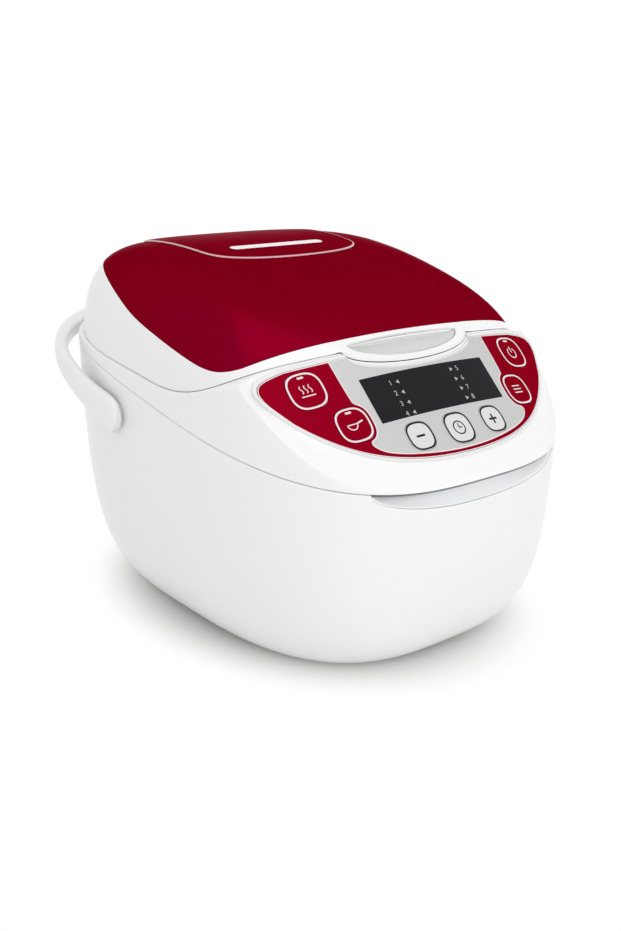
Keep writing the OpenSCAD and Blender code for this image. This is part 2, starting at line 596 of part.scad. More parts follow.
// Hinge
lug_x = 40;
lug_w = 9;
lug_r = 5.4;
pin_left = lug_x + lug_w / 2 + 1.5;
pin_right = lug_x + lug_w / 2 + 11;
bridge_z = parting(lid_cy + lid_br);
module hinge_lugs() {
    color("gray") at_body() for (s = [-1, 1]) difference() {
        union() {
            translate([s * lug_x, hinge_y, hinge_z]) rotate([0, 90, 0]) cylinder(r = lug_r, h = lug_w, center = true);
            translate([s * lug_x - lug_w / 2, hinge_y, bridge_z + 0.2]) cube([lug_w, 4.6, hinge_z - bridge_z - 0.2]);
        }
        translate([s * lug_x, hinge_y, hinge_z]) rotate([0, 90, 0]) cylinder(r = hinge_r, h = lug_w + 2, center = true);
    }
}
module hinge_pin() { color("silver") at_body() translate([-pin_left, hinge_y, hinge_z]) rotate([0, 90, 0]) cylinder(r = hinge_r, h = pin_left + pin_right); }
module hinge_spring() {
    color("silver") at_body() translate([lug_x + lug_w / 2 + 1.4, hinge_y, hinge_z]) rotate([0, 90, 0]) coil(hinge_r + 1.2, 0.7, 4, 8);
}
knuckle_half = lug_x - lug_w / 2 - 0.6;
module lid_hinge() {
    ty = lid_cy + lid_br * tray_s + 0.4;
    color("gray") at_body() difference() {
        union() {
            translate([0, hinge_y, hinge_z]) rotate([0, 90, 0]) cylinder(r = lug_r - 0.2, h = 2 * knuckle_half, center = true);
            translate([-knuckle_half, ty, hinge_z - 3]) cube([2 * knuckle_half, hinge_y - ty, 6]);
            translate([-knuckle_half, ty, tray_z + 6]) cube([2 * knuckle_half, 2.4, hinge_z - tray_z - 6]);
        }
        translate([0, hinge_y, hinge_z]) rotate([0, 90, 0]) cylinder(r = hinge_r + hinge_clear, h = 2 * knuckle_half + 2, center = true);
    }
}

// Lid shell, cover and tray
shift = 1.6;
tray_s = 0.925;
tray_f = 0.86;
function lid_pt(i, kx, kf, kr) = let (e = edge(i)) [e[0] * kx, lid_cy + (e[1] - lid_cy) * (e[1] < lid_cy ? kf : kr)];
function edge_pt(i, f) = let (d = edge_dir(i)) [0, lid_cy] + d * mix(edge_r(d, 130, 8), seat_r(d, 125, 14), f);
function seat_pt(i, k) = let (d = edge_dir(i)) [0, lid_cy] + d * seat_r(d, 125, 14) * k;
function edge_ring(f) = [for (i = [0 : N - 1]) let (p = edge_pt(i, f)) [p[0], p[1], dome(p[0], p[1])]];
function under(p, inward, drop) = let (q = p - unit2(p - [0, lid_cy]) * inward) [q[0], q[1], dome(p[0], p[1]) - drop];
function seat_ring(k, inward, drop) = [for (i = [0 : N - 1]) under(seat_pt(i, k), inward, drop)];
function ledge_k(i) = let (f = (edge(i)[1] - lid_cy) / lid_br) f > 0 ? mix(0.86, 0.91, pow(f, 4)) : mix(0.86, 0.74, ease(-1.6 * f));
function ledge_ring(drop) = [for (i = [0 : N - 1]) under(seat_pt(i, ledge_k(i)), shift + 0.9, drop)];
function inside_ring(f) = [for (i = [0 : N - 1]) under(edge_pt(i, f), 3, 4)];
function lid_rim(k) = [for (i = [0 : N - 1]) let (p = lid_pt(i, k, k, k)) [p[0], p[1], parting(edge(i)[1]) + lid_gap]];
module lid_front() {
    at_body() linear_extrude(400) polygon(concat([for (k = [0 : 24]) let (x = -bump_a - 0.4 + (bump_a + 0.4) * k / 12) [x, front_line(x) - 8]],
        [[bump_a + 0.4, front_y + 8], [bump_a - 4, sur_back + 0.4], [-bump_a + 4, sur_back + 0.4], [-bump_a - 0.4, front_y + 8]]));
}
module lid_shell() {
    color("white") difference() {
        union() {
            at_body() tube(concat([lid_rim(0.974), lid_rim(1)], [for (f = [0.03, 0.12, 0.3, 0.6]) edge_ring(f)],
                [seat_ring(1, -0.35, 0), seat_ring(1, -0.35, cover_t + 1.2)], [for (k = [1, 0.98, 0.94]) seat_ring(k, shift + 0.9, cover_t + 1.2)],
                [ledge_ring(cover_t + 0.9), ledge_ring(cover_t + 3), seat_ring(0.94, shift + 2.2, cover_t + 3), seat_ring(1, shift + 2.4, cover_t + 3), inside_ring(0.4)]));
            for (p = lid_screw_spots()) at_body() translate([p[0], p[1], tray_z + 2.5]) cylinder(r = 3.4, h = under(p, -4.3, cover_t + 2.3)[2] - tray_z - 2.5);
        }
        for (p = lid_screw_spots()) at_body() translate([p[0], p[1], tray_z]) cylinder(r = 1.5, h = 14.5);
        lid_front();
        at_body() translate([-lug_x - lug_w / 2 - 0.5, lid_cy + lid_br * 0.94, bridge_z - 20]) cube([2 * lug_x + lug_w + 1, 40, hinge_z - bridge_z + 26]);
    }
}
module cap_hole(grow) { at_body() linear_extrude(400) polygon([for (p = cap_plan(1)) [p[0] + sign(p[0]) * grow, p[1] + sign(p[1] - cap_cy) * grow]]); }
cover_k = [0.16, 0.34, 0.52, 0.68, 0.8, 0.88, 0.94, 0.98, 1];
module lid_cover() {
    color("crimson") difference() {
        at_body() lump(concat([for (k = cover_k) seat_ring(k, shift, cover_t)], [for (j = [len(cover_k) - 1 : -1 : 0]) seat_ring(cover_k[j], 0, 0)]),
            [0, lid_cy, dome(0, lid_cy) - cover_t], [0, lid_cy, dome(0, lid_cy)]);
        lid_front();
        cap_hole(0.4);
    }
}
function tray_top(k) = [for (i = [0 : N - 1]) let (p = lid_pt(i, k, tray_f * k / tray_s, k), q = lid_pt(i, 0.9, 0.9, 0.9)) [p[0], p[1], dome(q[0], q[1]) - cover_t - 12]];
function tray_ring(k, z) = [for (i = [0 : N - 1]) let (p = lid_pt(i, k, tray_f * k / tray_s, k)) [p[0], p[1], z]];
pipe_y = lid_cy + 49;
pipe_r = 9;
module lid_tray() {
    color("whitesmoke") at_body() difference() {
        lump([tray_ring(0.5, tray_z), tray_ring(tray_s, tray_z), tray_top(0.903), tray_top(0.884), tray_ring(tray_s - 0.02, tray_z + 2.4), tray_ring(0.5, tray_z + 2.4)],
            [0, lid_cy, tray_z], [0, lid_cy, tray_z + 2.4]);
        translate([0, pipe_y, tray_z - 5]) cylinder(r = pipe_r + 0.3, h = 20);
        translate([0, lid_cy, tray_z - 5]) cylinder(r = 6.05, h = 20);
        for (p = lid_screw_spots()) translate([p[0], p[1], tray_z - 5]) cylinder(r = 1.7, h = 20);
    }
}
function lid_screw_spots() = [for (i = [N / 8, 3 * N / 8, 5 * N / 8, 7 * N / 8]) lid_pt(i, 0.848, 0.75, 0.848)];
module lid_screws() {
    color("silver") at_body() for (p = lid_screw_spots()) translate([p[0], p[1], 0]) {
        translate([0, 0, tray_z - 1.9]) cylinder(r = 3, h = 1.8);
        translate([0, 0, tray_z - 0.5]) cylinder(r = 1.5, h = 14);
    }
}

// Inner lid
plate_low = 174.5;
in_r = pot_r - 8;
module inner_lid() {
    color("lightgray") at_pot() difference() {
        rotate_extrude() polygon([[6.1, plate_low + 3], [in_r - 30, plate_low], [in_r, plate_low], [in_r, plate_low + 1.2], [in_r - 30, plate_low + 1.2], [6.1, plate_low + 4.2]]);
        for (t = [0 : 30 : 330]) translate([30 * cos(t), pipe_y - lid_cy + 14 * sin(t), plate_low - 2]) cylinder(r = 1.5, h = 10);
    }
}
module inner_gasket() {
    color("lightblue") at_pot() rotate_extrude()
        polygon([[in_r - 3, plate_low - 1.5], [in_r + 2, plate_low - 1.5], [pot_r - 3, ledge_z + rim_t + 0.45], [pot_r + 2, ledge_z + rim_t + 0.45], [in_r + 6, plate_low + 2.6], [in_r - 3, plate_low + 2.6], [in_r - 3, plate_low + 1.3], [in_r + 0.1, plate_low + 1.3], [in_r + 0.1, plate_low - 0.1], [in_r - 3, plate_low - 0.1]]);
}
module inner_knob() {
    color("dimgray") at_pot() {
        translate([0, 0, plate_low + 1]) cylinder(r = 10, h = 1.7);
        translate([0, 0, plate_low + 2.5]) cylinder(r = 6, h = tray_z + 2.4 - plate_low - 2.5);
        translate([0, 0, tray_z + 2.5]) cylinder(r = 9, h = 2);
        translate([0, 0, tray_z + 2]) cylinder(r = 5.5, h = 1);
    }
}

// Steam path and cap
cap_cy = lid_cy + 28.5;
cap_b = pot_r - 54;
cap_w = pot_r - 39;
function cap_plan(k) = [for (i = [0 : 39]) let (t = 9 * i, y = cap_b * spow(sin(t), 1 / 3), x = (cap_w + 0.06 * y) * spow(cos(t), 1 / 3))
    [x * k, cap_cy + (y + (y < 0 ? 0.0018 * x * x * pow(y / cap_b, 2) : 0)) * k]];
function cap_ring(k, drop) = [for (p = cap_plan(k)) [p[0], p[1], dome(p[0], p[1]) - drop]];
cap_proud = 1;
slot_w = 79;
cap_t = 5;
module steam_cap() {
    color("crimson") at_body() difference() {
        lump([cap_ring(0.5, cap_t), cap_ring(0.985, cap_t), cap_ring(1, 0), cap_ring(0.985, -cap_proud), cap_ring(0.9, -cap_proud), cap_ring(0.6, -cap_proud), cap_ring(0.3, -cap_proud)],
            [0, cap_cy, dome(0, cap_cy) - cap_t], [0, cap_cy, dome(0, cap_cy) + cap_proud]);
        translate([-slot_w / 2, cap_cy - 29, 200]) cube([slot_w, 2.6, 100]);
    }
}
seat_t = 2;
seat_gap = 1;
module steam_seat() {
    color("gray") at_body() difference() {
        lump([cap_ring(0.5, cap_t + seat_gap + seat_t), cap_ring(1.025, cap_t + seat_gap + seat_t), cap_ring(1.03, cover_t + 2.2), cap_ring(1.05, cover_t + 2.2), cap_ring(1.05, cover_t + 0.6),
            cap_ring(1.012, cover_t + 0.6), cap_ring(1.005, cap_t + seat_gap), cap_ring(0.5, cap_t + seat_gap)],
            [0, cap_cy, dome(0, cap_cy) - cap_t - seat_gap - seat_t], [0, cap_cy, dome(0, cap_cy) - cap_t - seat_gap]);
        translate([0, pipe_y, 200]) cylinder(r = pipe_r + 0.1, h = 100);
    }
}
pipe_top = dome(0, pipe_y) - cap_t - seat_gap;
module steam_pipe() {
    color("whitesmoke") at_body() translate([0, pipe_y, 0]) difference() {
        union() {
            translate([0, 0, tray_z - 2.6]) cylinder(r = pipe_r, h = pipe_top - tray_z + 2.2);
            translate([0, 0, tray_z + 2.5]) cylinder(r = pipe_r + 3, h = 2);
        }
        translate([0, 0, 150]) cylinder(r = pipe_r - 2, h = 150);
    }
}
seal_z = plate_low + 2.9;
module pipe_seal() {
    color("lightblue") at_body() translate([0, pipe_y, seal_z]) difference() {
        cylinder(r = pipe_r + 2, h = tray_z - 0.1 - seal_z);
        translate([0, 0, -1]) cylinder(r = pipe_r - 2, h = 2.7);
        translate([0, 0, tray_z - 2.7 - seal_z]) cylinder(r = pipe_r + 0.1, h = 4);
    }
}

// Release button, surround and latch
but_tilt = 33;
but_y = front_y + 0.8;
sur_back = front_y + 11.8;
sur_cy = front_y + 2.8;
function sur_top(y) = 199 + (y - (front_y - bump_d)) * tan(but_tilt);
function sur_plan(k) = let (c = [0, sur_cy]) [for (p = concat([for (j = [0 : 18]) let (x = -bump_a + bump_a * j / 9) [x, front_line(x) + 0.3]],
        [[bump_a - 1, front_y + 6], [bump_a - 5, sur_back - 2], [bump_a - 9, sur_back], [0, sur_back], [-bump_a + 9, sur_back], [-bump_a + 5, sur_back - 2], [-bump_a + 1, front_y + 6]])) [p[0] * k, c[1] + (p[1] - c[1]) * k]];
function sur_ring(k, drop) = [for (p = sur_plan(k)) [p[0], p[1], sur_top(p[1]) - drop]];
function sur_edge() = [for (p = sur_plan(1)) [p[0], p[1], min(sur_top(p[1]) - 0.9, max(sur_top(p[1]) - 4, min(parting(p[1]), deck(p[0], p[1])) + 0.6))]];
but_z = sur_top(but_y);
module on_button() { at_body() translate([0, but_y, but_z]) rotate([but_tilt, 0, 0]) children(); }
function but_pts(d) = concat([for (k = [0 : 20]) let (t = 180 + 9 * k) [(button_a + d) * cos(t), 5.4 + (button_low + d) * sin(t)]],
    [for (k = [1 : 9]) let (x = button_a * (1 - k / 5)) [x, 5.4 + d + 2.6 * (1 - pow(x / button_a, 2))]]);
module button_surround() {
    color("white") difference() {
        at_body() lump([sur_ring(0.4, 4.6), sur_ring(0.72, 4.6), sur_edge(), sur_ring(1, 0.3), sur_ring(0.985, 0), sur_ring(0.4, 0)], [0, sur_cy, sur_top(sur_cy) - 4.6], [0, sur_cy, sur_top(sur_cy)]);
        on_button() translate([0, 0, -12]) linear_extrude(24) polygon(but_pts(0.4));
    }
}
brk_w = -12;
hook_half = 14.5;
nose_r = 2;
latch_clear = 0.05;
boss_w = -8.9;
tooth_z = 176;
tooth_y = front_y + 0.8;
catch_z = 180;
collar_low_z = deck(0, front_line(0));
module latch_bracket() {
    color("gray") difference() {
        union() {
            on_button() translate([-button_a - 4, -3, brk_w - 2]) cube([2 * button_a + 8, 11, 2]);
            for (s = [-1, 1]) on_button() translate([s * (button_a + 2.5) - 1.5, 2.5, brk_w - 1]) cube([3, 5.5, -brk_w - 3.4]);
            for (s = [-1, 1]) at_body() translate([s * (hook_half + 2) - 1.5, latch_y - 4, latch_z - 6]) cube([3, 8, 9.5]);
        }
        on_button() translate([-hook_half - 0.5, -12, brk_w - 12]) cube([2 * hook_half + 1, 30, 24]);
        at_body() translate([0, latch_y, latch_z]) rotate([0, 90, 0]) cylinder(r = latch_r, h = 60, center = true);
    }
}
latch_y = but_y + 11;
latch_z = but_z - 6.5;
nose_v = 11;
nose_y = latch_y - nose_v * cos(but_tilt);
nose_z = latch_z - nose_v * sin(but_tilt);
module release_button() {
    color("silver") on_button() difference() {
        union() {
            translate([0, 0, -3.2]) linear_extrude(3.7) polygon(but_pts(0));
            translate([-9, -8, boss_w]) cube([18, 5, -boss_w - 3]);
        }
        translate([0, -1.5, 22.6]) rotate([0, 90, 0]) cylinder(r = 24, h = 2 * button_a - 8, center = true);
    }
}
module button_springs() {
    color("silver") on_button() for (s = [-1, 1]) translate([s * 28, 1.5, brk_w + 0.8]) coil(3.4, 0.6, 4, -3.2 - brk_w - 1.6);
}
module latch_hook() {
    color("gray") at_body() difference() {
        union() {
            translate([0, latch_y, latch_z]) rotate([0, 90, 0]) cylinder(r = 4, h = 2 * hook_half, center = true);
            translate([0, latch_y, latch_z]) rotate([but_tilt, 0, 0]) translate([-8, -nose_v, -1.5]) cube([16, nose_v, 3]);
            translate([0, nose_y, nose_z]) rotate([0, 90, 0]) cylinder(r = nose_r, h = 16, center = true);
            translate([-10, latch_y - 2, tooth_z]) cube([20, 3.5, latch_z - tooth_z]);
            translate([-10, tooth_y, tooth_z - 1]) cube([20, latch_y + 1.5 - tooth_y, 3]);
        }
        translate([0, latch_y, latch_z]) rotate([0, 90, 0]) cylinder(r = latch_r + latch_clear, h = 40, center = true);
    }
}
module latch_pin() { color("silver") at_body() translate([0, latch_y, latch_z]) rotate([0, 90, 0]) cylinder(r = latch_r, h = 2 * hook_half + 7, center = true); }
module latch_catch() {
    y0 = front_line(0) + rim_w + 4 * (collar_low_z - catch_z) / (collar_low_z - ledge_z) + 0.2;
    color("silver") at_body() translate([-13, y0, catch_z]) cube([26, tooth_y - 2 - y0, 3]);
}

// Handle
bail_n = 2.9;
bail_st = 36;
function bail_pt(k) = let (t = 180 * k / bail_st) [bail_x * spow(cos(t), 2 / bail_n), bail_r * spow(sin(t), 2 / bail_n)];
function bail_dir(k) = unit2(bail_pt(min(bail_st, k + 0.2)) - bail_pt(max(0, k - 0.2)));
function bail_hp(k) = let (f = pow(sin(180 * k / bail_st), 2)) mix(arm_t / 2, bail_half, f);
function bail_hq(k) = let (f = sin(180 * k / bail_st)) mix(11, bail_thick, min(1, 1.6 * f));
function bail_ring(k) = let (p = bail_pt(k), d = bail_dir(k), n = [d[1], -d[0]], a = bail_hp(k), b = bail_hq(k))
    [for (q = [0 : 11]) let (t = 30 * q + 15, u = spow(cos(t), 0.6) * a, w = -spow(sin(t), 0.6) * b) [p[0] + n[0] * u, p[1] + n[1] * u, w]];
module handle() {
    color("white") at_body() translate([0, pivot_y, pivot_z]) rotate([bail_rest, 0, 0]) {
        lump([for (k = [0 : bail_st]) bail_ring(k)], [bail_x, 0, 0], [-bail_x, 0, 0]);
        for (s = [-1, 1]) {
            translate([s * bail_x, 0, 0]) rotate([0, 90, 0]) cylinder(r = 13, h = arm_t, center = true);
            translate([s * (bail_x - arm_t / 2 + 1 - 7), 0, 0]) rotate([0, 90, 0]) cylinder(r = stub_r, h = 14, center = true);
        }
    }
}
module handle_clips() {
    x = wall_x(pivot_y, wall + 0.8) - 2.6;
    color("gray") at_body() translate([0, pivot_y, pivot_z]) for (s = [-1, 1]) translate([s * x, 0, 0]) rotate([0, 90, 0]) difference() {
        cylinder(r = stub_r + 4, h = 2, center = true);
        cylinder(r = stub_r, h = 4, center = true);
    }
}

outer_shell();
grip_cup();
base_plate();
feet();
base_screws();
top_collar();
panel_trim();
panel_fascia();
panel_insert();
display_window();
display_module();
control_board();
key_switches();
board_screws();
keep_warm_key();
fry_key();
minus_key();
timer_key();
plus_key();
menu_key();
power_key();
inner_liner();
heating_plate();
heater_ring();
heater_terminals();
heater_supports();
sensor_cap();
sensor_spring();
sensor_bracket();
thermal_fuse();
power_board();
power_parts();
power_screws();
inlet_socket();
inlet_pins();
cooking_pot();
hinge_lugs();
hinge_pin();
hinge_spring();
latch_catch();
lid_shell();
lid_cover();
lid_tray();
lid_screws();
lid_hinge();
inner_lid();
inner_gasket();
inner_knob();
steam_seat();
steam_pipe();
pipe_seal();
steam_cap();
button_surround();
latch_bracket();
release_button();
button_springs();
latch_hook();
latch_pin();
handle();
handle_clips();
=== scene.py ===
"""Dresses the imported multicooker: shells, lid, key panel, handle and springs, with finishes, light and camera."""
import json
import logging
import math
from dataclasses import dataclass, field
from enum import Enum
from typing import Callable, Mapping, Optional, Sequence

import bmesh
import bpy
from mathutils import Matrix, Vector

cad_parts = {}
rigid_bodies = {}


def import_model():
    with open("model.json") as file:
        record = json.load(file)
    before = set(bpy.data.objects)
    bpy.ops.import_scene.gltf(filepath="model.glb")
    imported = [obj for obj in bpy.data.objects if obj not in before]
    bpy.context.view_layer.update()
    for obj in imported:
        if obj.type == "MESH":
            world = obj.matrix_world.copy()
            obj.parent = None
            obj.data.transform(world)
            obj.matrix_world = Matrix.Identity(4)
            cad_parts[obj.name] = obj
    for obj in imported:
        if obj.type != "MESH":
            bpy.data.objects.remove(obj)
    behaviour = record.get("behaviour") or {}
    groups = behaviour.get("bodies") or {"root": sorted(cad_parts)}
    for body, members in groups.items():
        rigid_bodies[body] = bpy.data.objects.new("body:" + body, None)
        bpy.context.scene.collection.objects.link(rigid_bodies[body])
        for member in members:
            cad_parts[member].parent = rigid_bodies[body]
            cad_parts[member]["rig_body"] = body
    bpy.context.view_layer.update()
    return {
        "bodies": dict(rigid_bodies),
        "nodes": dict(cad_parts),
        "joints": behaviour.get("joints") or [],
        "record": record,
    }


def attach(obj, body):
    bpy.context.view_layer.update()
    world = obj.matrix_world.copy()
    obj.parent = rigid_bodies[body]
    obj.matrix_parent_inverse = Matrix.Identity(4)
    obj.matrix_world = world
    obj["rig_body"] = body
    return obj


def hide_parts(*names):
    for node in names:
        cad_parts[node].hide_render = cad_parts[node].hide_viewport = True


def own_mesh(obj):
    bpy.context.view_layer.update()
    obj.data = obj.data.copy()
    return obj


log = logging.getLogger("multicooker")

Point = tuple[float, float, float]
Flat = tuple[float, float]
Colour = tuple[float, float, float]
Edges = list[bmesh.types.BMEdge]

SLOPE = math.sqrt(0.5)
FRONT_Y = -60.0


def spow(value: float, power: float) -> float:
    """Raises a value to a power and keeps its sign."""
    return math.copysign(abs(value) ** power, value)


def mix(a: float, b: float, f: float) -> float:
    """Blends two numbers."""
    return a + (b - a) * f


def between(p: Flat, q: Flat, f: float) -> Flat:
    """Blends two plan points."""
    return mix(p[0], q[0], f), mix(p[1], q[1], f)


def stepped(p: Flat, way: Flat, d: float) -> Flat:
    """Moves a plan point by d along a way."""
    return p[0] + way[0] * d, p[1] + way[1] * d


def ease(f: float) -> float:
    """Smooth step from 0 to 1."""
    f = min(1.0, max(0.0, f))
    return f * f * (3 - 2 * f)


def soft_min(a: float, b: float, k: float) -> float:
    """Lesser of two heights with a rounded change-over of width k."""
    h = max(k - abs(a - b), 0.0) / k
    return min(a, b) - h * h * k / 4


def circle_of(count: int) -> list[float]:
    """Evenly spread angles in radians."""
    return [2 * math.pi * k / count for k in range(count)]


def set_down(name: str, data: bpy.types.ID) -> bpy.types.Object:
    """Puts an object into the scene.

    Args:
        name: its name.
        data: its mesh, lamp or camera.

    Returns:
        The object.
    """
    obj = bpy.data.objects.new(name, data)
    bpy.context.scene.collection.objects.link(obj)
    return obj


@dataclass(frozen=True)
class Form:
    """Shape laws of the cooker in millimetres, with the middle of the body as origin."""

    body_a: float = 138.0
    body_b: float = 178.0
    body_n: float = 3.0
    wall: float = 2.8
    floor_z: float = 4.0
    flange: float = 11.0
    draw_in: float = 65.0
    draw_n: float = 3.58
    draw_share: float = 0.97
    draft: float = 4.0
    seam_z: float = 165.5
    seam_rise: float = 0.193
    seam_bend: float = 0.0008
    seam_from: float = 40.0
    seam_gap: float = 0.5
    part_z: float = 180.0
    part_rise: float = 0.116
    part_bend: float = 0.004
    part_from: float = -5.0
    lid_cy: float = 36.0
    lid_a: float = 135.0
    lid_bf: float = 139.8
    lid_br: float = 132.0
    lid_n: float = 2.6
    lid_front_n: float = 7.6
    lid_gap: float = 0.7
    bow: float = 1 / 1550
    bump_a: float = 56.0
    bump_d: float = 10.8
    bump_from: float = 0.7
    crown_z: float = 386.5
    crown_r: float = 128.0
    crown_pinch: float = 0.59
    crown_y: float = 85.0
    edge_n: float = 8
    side_turn: float = 2.0
    front_turn: float = 1.15
    front_from: float = 123.8
    front_run: float = 110
    ledge_z: float = 166.0
    hole_r: float = 114.5
    panel_y: float = -135.5
    panel_z: float = 176.1
    panel_r: float = 600.0
    panel_a: float = 124.0
    surround_z: float = 199
    button_y: float = -103.0
    button_tilt: float = math.radians(33)
    cap_cy: float = 64.5
    cap_b: float = 56.0
    cap_w: float = 71.0
    cap_taper: float = 0.06
    cap_bow: float = 0.0018
    cap_bow_x: float = 75.0
    cap_n: float = 6
    seat_cy: float = -10.0
    seat_a: float = 131.0
    seat_front: float = 84.5
    seat_front_n: float = 6.6
    seat_rear: float = 158.0
    seat_rear_n: float = 2.7
    hinge_y: float = 169.5
    hinge_z: float = 206.5
    shift_y: float = -10.888
    walk_from: float = 130.0
    walk_calm: float = 0.7

    @property
    def middle(self) -> Flat:
        """Middle of the lid in plan."""
        return 0.0, self.lid_cy

    @property
    def cap_middle(self) -> Flat:
        """Middle of the steam cap in plan."""
        return 0.0, self.cap_cy

    def to_row(self) -> Matrix:
        """Turns body millimetres into metres in the row frame."""
        return Matrix.Scale(0.001, 4) @ Matrix.Translation((0.0, self.shift_y, 0.0))

    def seam(self, y: float) -> float:
        """Height of the line between shell and collar."""
        return self.seam_z + self.seam_rise * y - self.seam_bend * max(0.0, y - self.seam_from) ** 2

    def parting(self, y: float) -> float:
        """Height of the line between collar and lid."""
        return self.part_z + self.part_rise * y + self.part_bend * min(0.0, y - self.part_from) ** 2

    def inset(self, u: float) -> float:
        """Draw-in of the lower wall, u from 0 at the seam to 1 at the floor."""
        v = self.draw_share * u
        return self.draw_in * (1 - (1 - v ** self.draw_n) ** (1 / self.draw_n)) + self.draft * v

    def plan(self, c: float, s: float, d: float = 0.0) -> Flat:
        """Point of the body's plan, drawn in by d."""
        return (self.body_a - d) * c, (self.body_b - d) * s

    def wall_y(self, x: float, d: float) -> float:
        """Front wall of the body at x, drawn in by d."""
        left = max(0.0, 1 - (abs(x) / (self.body_a - d)) ** self.body_n)
        return -(self.body_b - d) * left ** (1 / self.body_n)

    def sag(self, x: float) -> float:
        """Drop of the bent panel at x."""
        return self.panel_r - math.sqrt(self.panel_r ** 2 - x * x)

    def deck(self, x: float, y: float) -> float:
        """Height of the sloping panel seat."""
        return self.panel_z + (y - self.panel_y) - self.sag(x) * math.sqrt(2)

    def lid_share(self, x: float, y: float) -> float:
        """Size of a plan point as a share of the lid's edge.

        Args:
            x: place across.
            y: place along.

        Returns:
            0 in the lid's middle, 1 on its edge.
        """
        if y < self.lid_cy:
            f = (self.lid_cy - y) / self.lid_bf
            q = (self.lid_cy - y + self.bow * x * x * f ** 4) / self.lid_bf
            m = min(1.0, max(abs(x) / self.lid_a, q))
            n = mix(self.lid_n, self.lid_front_n, math.sqrt(m))
        else:
            q, n = (y - self.lid_cy) / self.lid_br, self.lid_n
        return ((abs(x) / self.lid_a) ** n + q ** n) ** (1 / n)

    def bump(self, x: float) -> float:
        """Forward bulge of the lid's front edge round the release dish."""
        return self.bump_d * math.sqrt(1 - (x / self.bump_a) ** 2) if abs(x) < self.bump_a else 0.0

    def front_line(self, x: float) -> float:
        """Front edge of the lid with its bulge."""
        return self.lid_cy - self.lid_bf + self.bow * x * x - self.bump(x)

    def crown(self, y: float) -> float:
        """Top of the lid without its turned down edge."""
        return self.crown_z - math.hypot(self.crown_r, self.crown_pinch * (y - self.crown_y))

    def dome(self, x: float, y: float) -> float:
        """Height of the lid's outside.

        Args:
            x: place across.
            y: place along.

        Returns:
            The height, at the parting line on the lid's edge and on the crown inside it.
        """
        s = max(0.02, self.lid_share(x, y))
        front = ease((self.lid_cy - self.lid_bf + self.front_from - y) / self.front_run)
        g = max(0.0, 1 - min(s, 1.0) ** self.edge_n) ** (1 / mix(self.side_turn, self.front_turn, front))
        return mix(self.parting(self.lid_cy + (y - self.lid_cy) / s) + self.lid_gap, self.crown(y), g)

    def surround(self, y: float) -> float:
        """Height of the flat band round the release dish."""
        return self.surround_z + (y - (self.lid_cy - self.lid_bf - self.bump_d)) * math.tan(self.button_tilt)

    def reach(self, centre: Flat, way: Flat, share: Callable[[float, float], float], turns: int = 24) -> Flat:
        """Walks from a centre along a way until share is 1.

        Args:
            centre: start of the walk in plan.
            way: unit direction in plan.
            share: size of a plan point as a share of the outline.
            turns: how often the walk is corrected.

        Returns:
            The point of the outline.
        """
        r = self.walk_from
        for _ in range(turns):
            r /= share(*stepped(centre, way, r)) ** self.walk_calm
        return stepped(centre, way, r)

    def cap_share(self, x: float, y: float) -> float:
        """Size of a plan point as a share of the steam cap's outline.

        Args:
            x: place across.
            y: place along.

        Returns:
            0 in the cap's middle, 1 on its edge.
        """
        dy = flat = y - self.cap_cy
        for _ in range(8 if dy < 0 else 0):
            flat = dy - self.cap_bow * min(abs(x), self.cap_bow_x) ** 2 * min(1.0, abs(flat) / self.cap_b) ** 2
        wide = (abs(x) / (self.cap_w + self.cap_taper * flat)) ** self.cap_n
        return (wide + (abs(flat) / self.cap_b) ** self.cap_n) ** (1 / self.cap_n)

    def seat_share(self, x: float, y: float) -> float:
        """Size of a plan point as a share of the red cover's outline.

        Args:
            x: place across.
            y: place along.

        Returns:
            0 in the cover's middle, 1 on its edge.
        """
        dy = y - self.seat_cy
        n, b = (self.seat_front_n, self.seat_front) if dy < 0 else (self.seat_rear_n, self.seat_rear)
        return ((abs(x) / self.seat_a) ** n + (abs(dy) / b) ** n) ** (1 / n)

    def on_panel(self, x: float, v: float, w: float) -> Point:
        """Point at x and v on the bent panel, w above its face."""
        h = math.sqrt((self.panel_r + w) ** 2 - x * x) - self.panel_r
        return x, self.panel_y + (v - h) * SLOPE, self.panel_z + (v + h) * SLOPE

    def key_frame(self, u: float, v: float) -> Matrix:
        """Frame of a key.

        Args:
            u: its place across the bent panel.
            v: its place up the panel.

        Returns:
            The frame, with its origin on the panel's face and Z out of it.
        """
        a = math.asin(u / self.panel_r)
        return (Matrix.Translation((0.0, self.panel_y, self.panel_z)) @ Matrix.Rotation(math.radians(45), 4, "X")
                @ Matrix.Translation((0.0, 0.0, -self.panel_r)) @ Matrix.Rotation(a, 4, "Y")
                @ Matrix.Translation((0.0, v, self.panel_r)))

    def button_frame(self) -> Matrix:
        """Frame of the release dish."""
        z = self.surround(self.button_y)
        return Matrix.Translation((0.0, self.button_y, z)) @ Matrix.Rotation(self.button_tilt, 4, "X")


@dataclass(frozen=True)
class Ray:
    """One column of the body's rings: its place in plan and the lid edge on the same line from the lid's middle."""

    c: float
    s: float
    plan: Flat
    way: Flat
    edge: Flat
    rim: Flat
    seat: Flat

    @property
    def front(self) -> bool:
        """True in front of the lid's straight sides."""
        return self.edge[1] < FRONT_Y

    @property
    def bulged(self) -> bool:
        """True along the bulge round the release dish."""
        return self.rim != self.edge


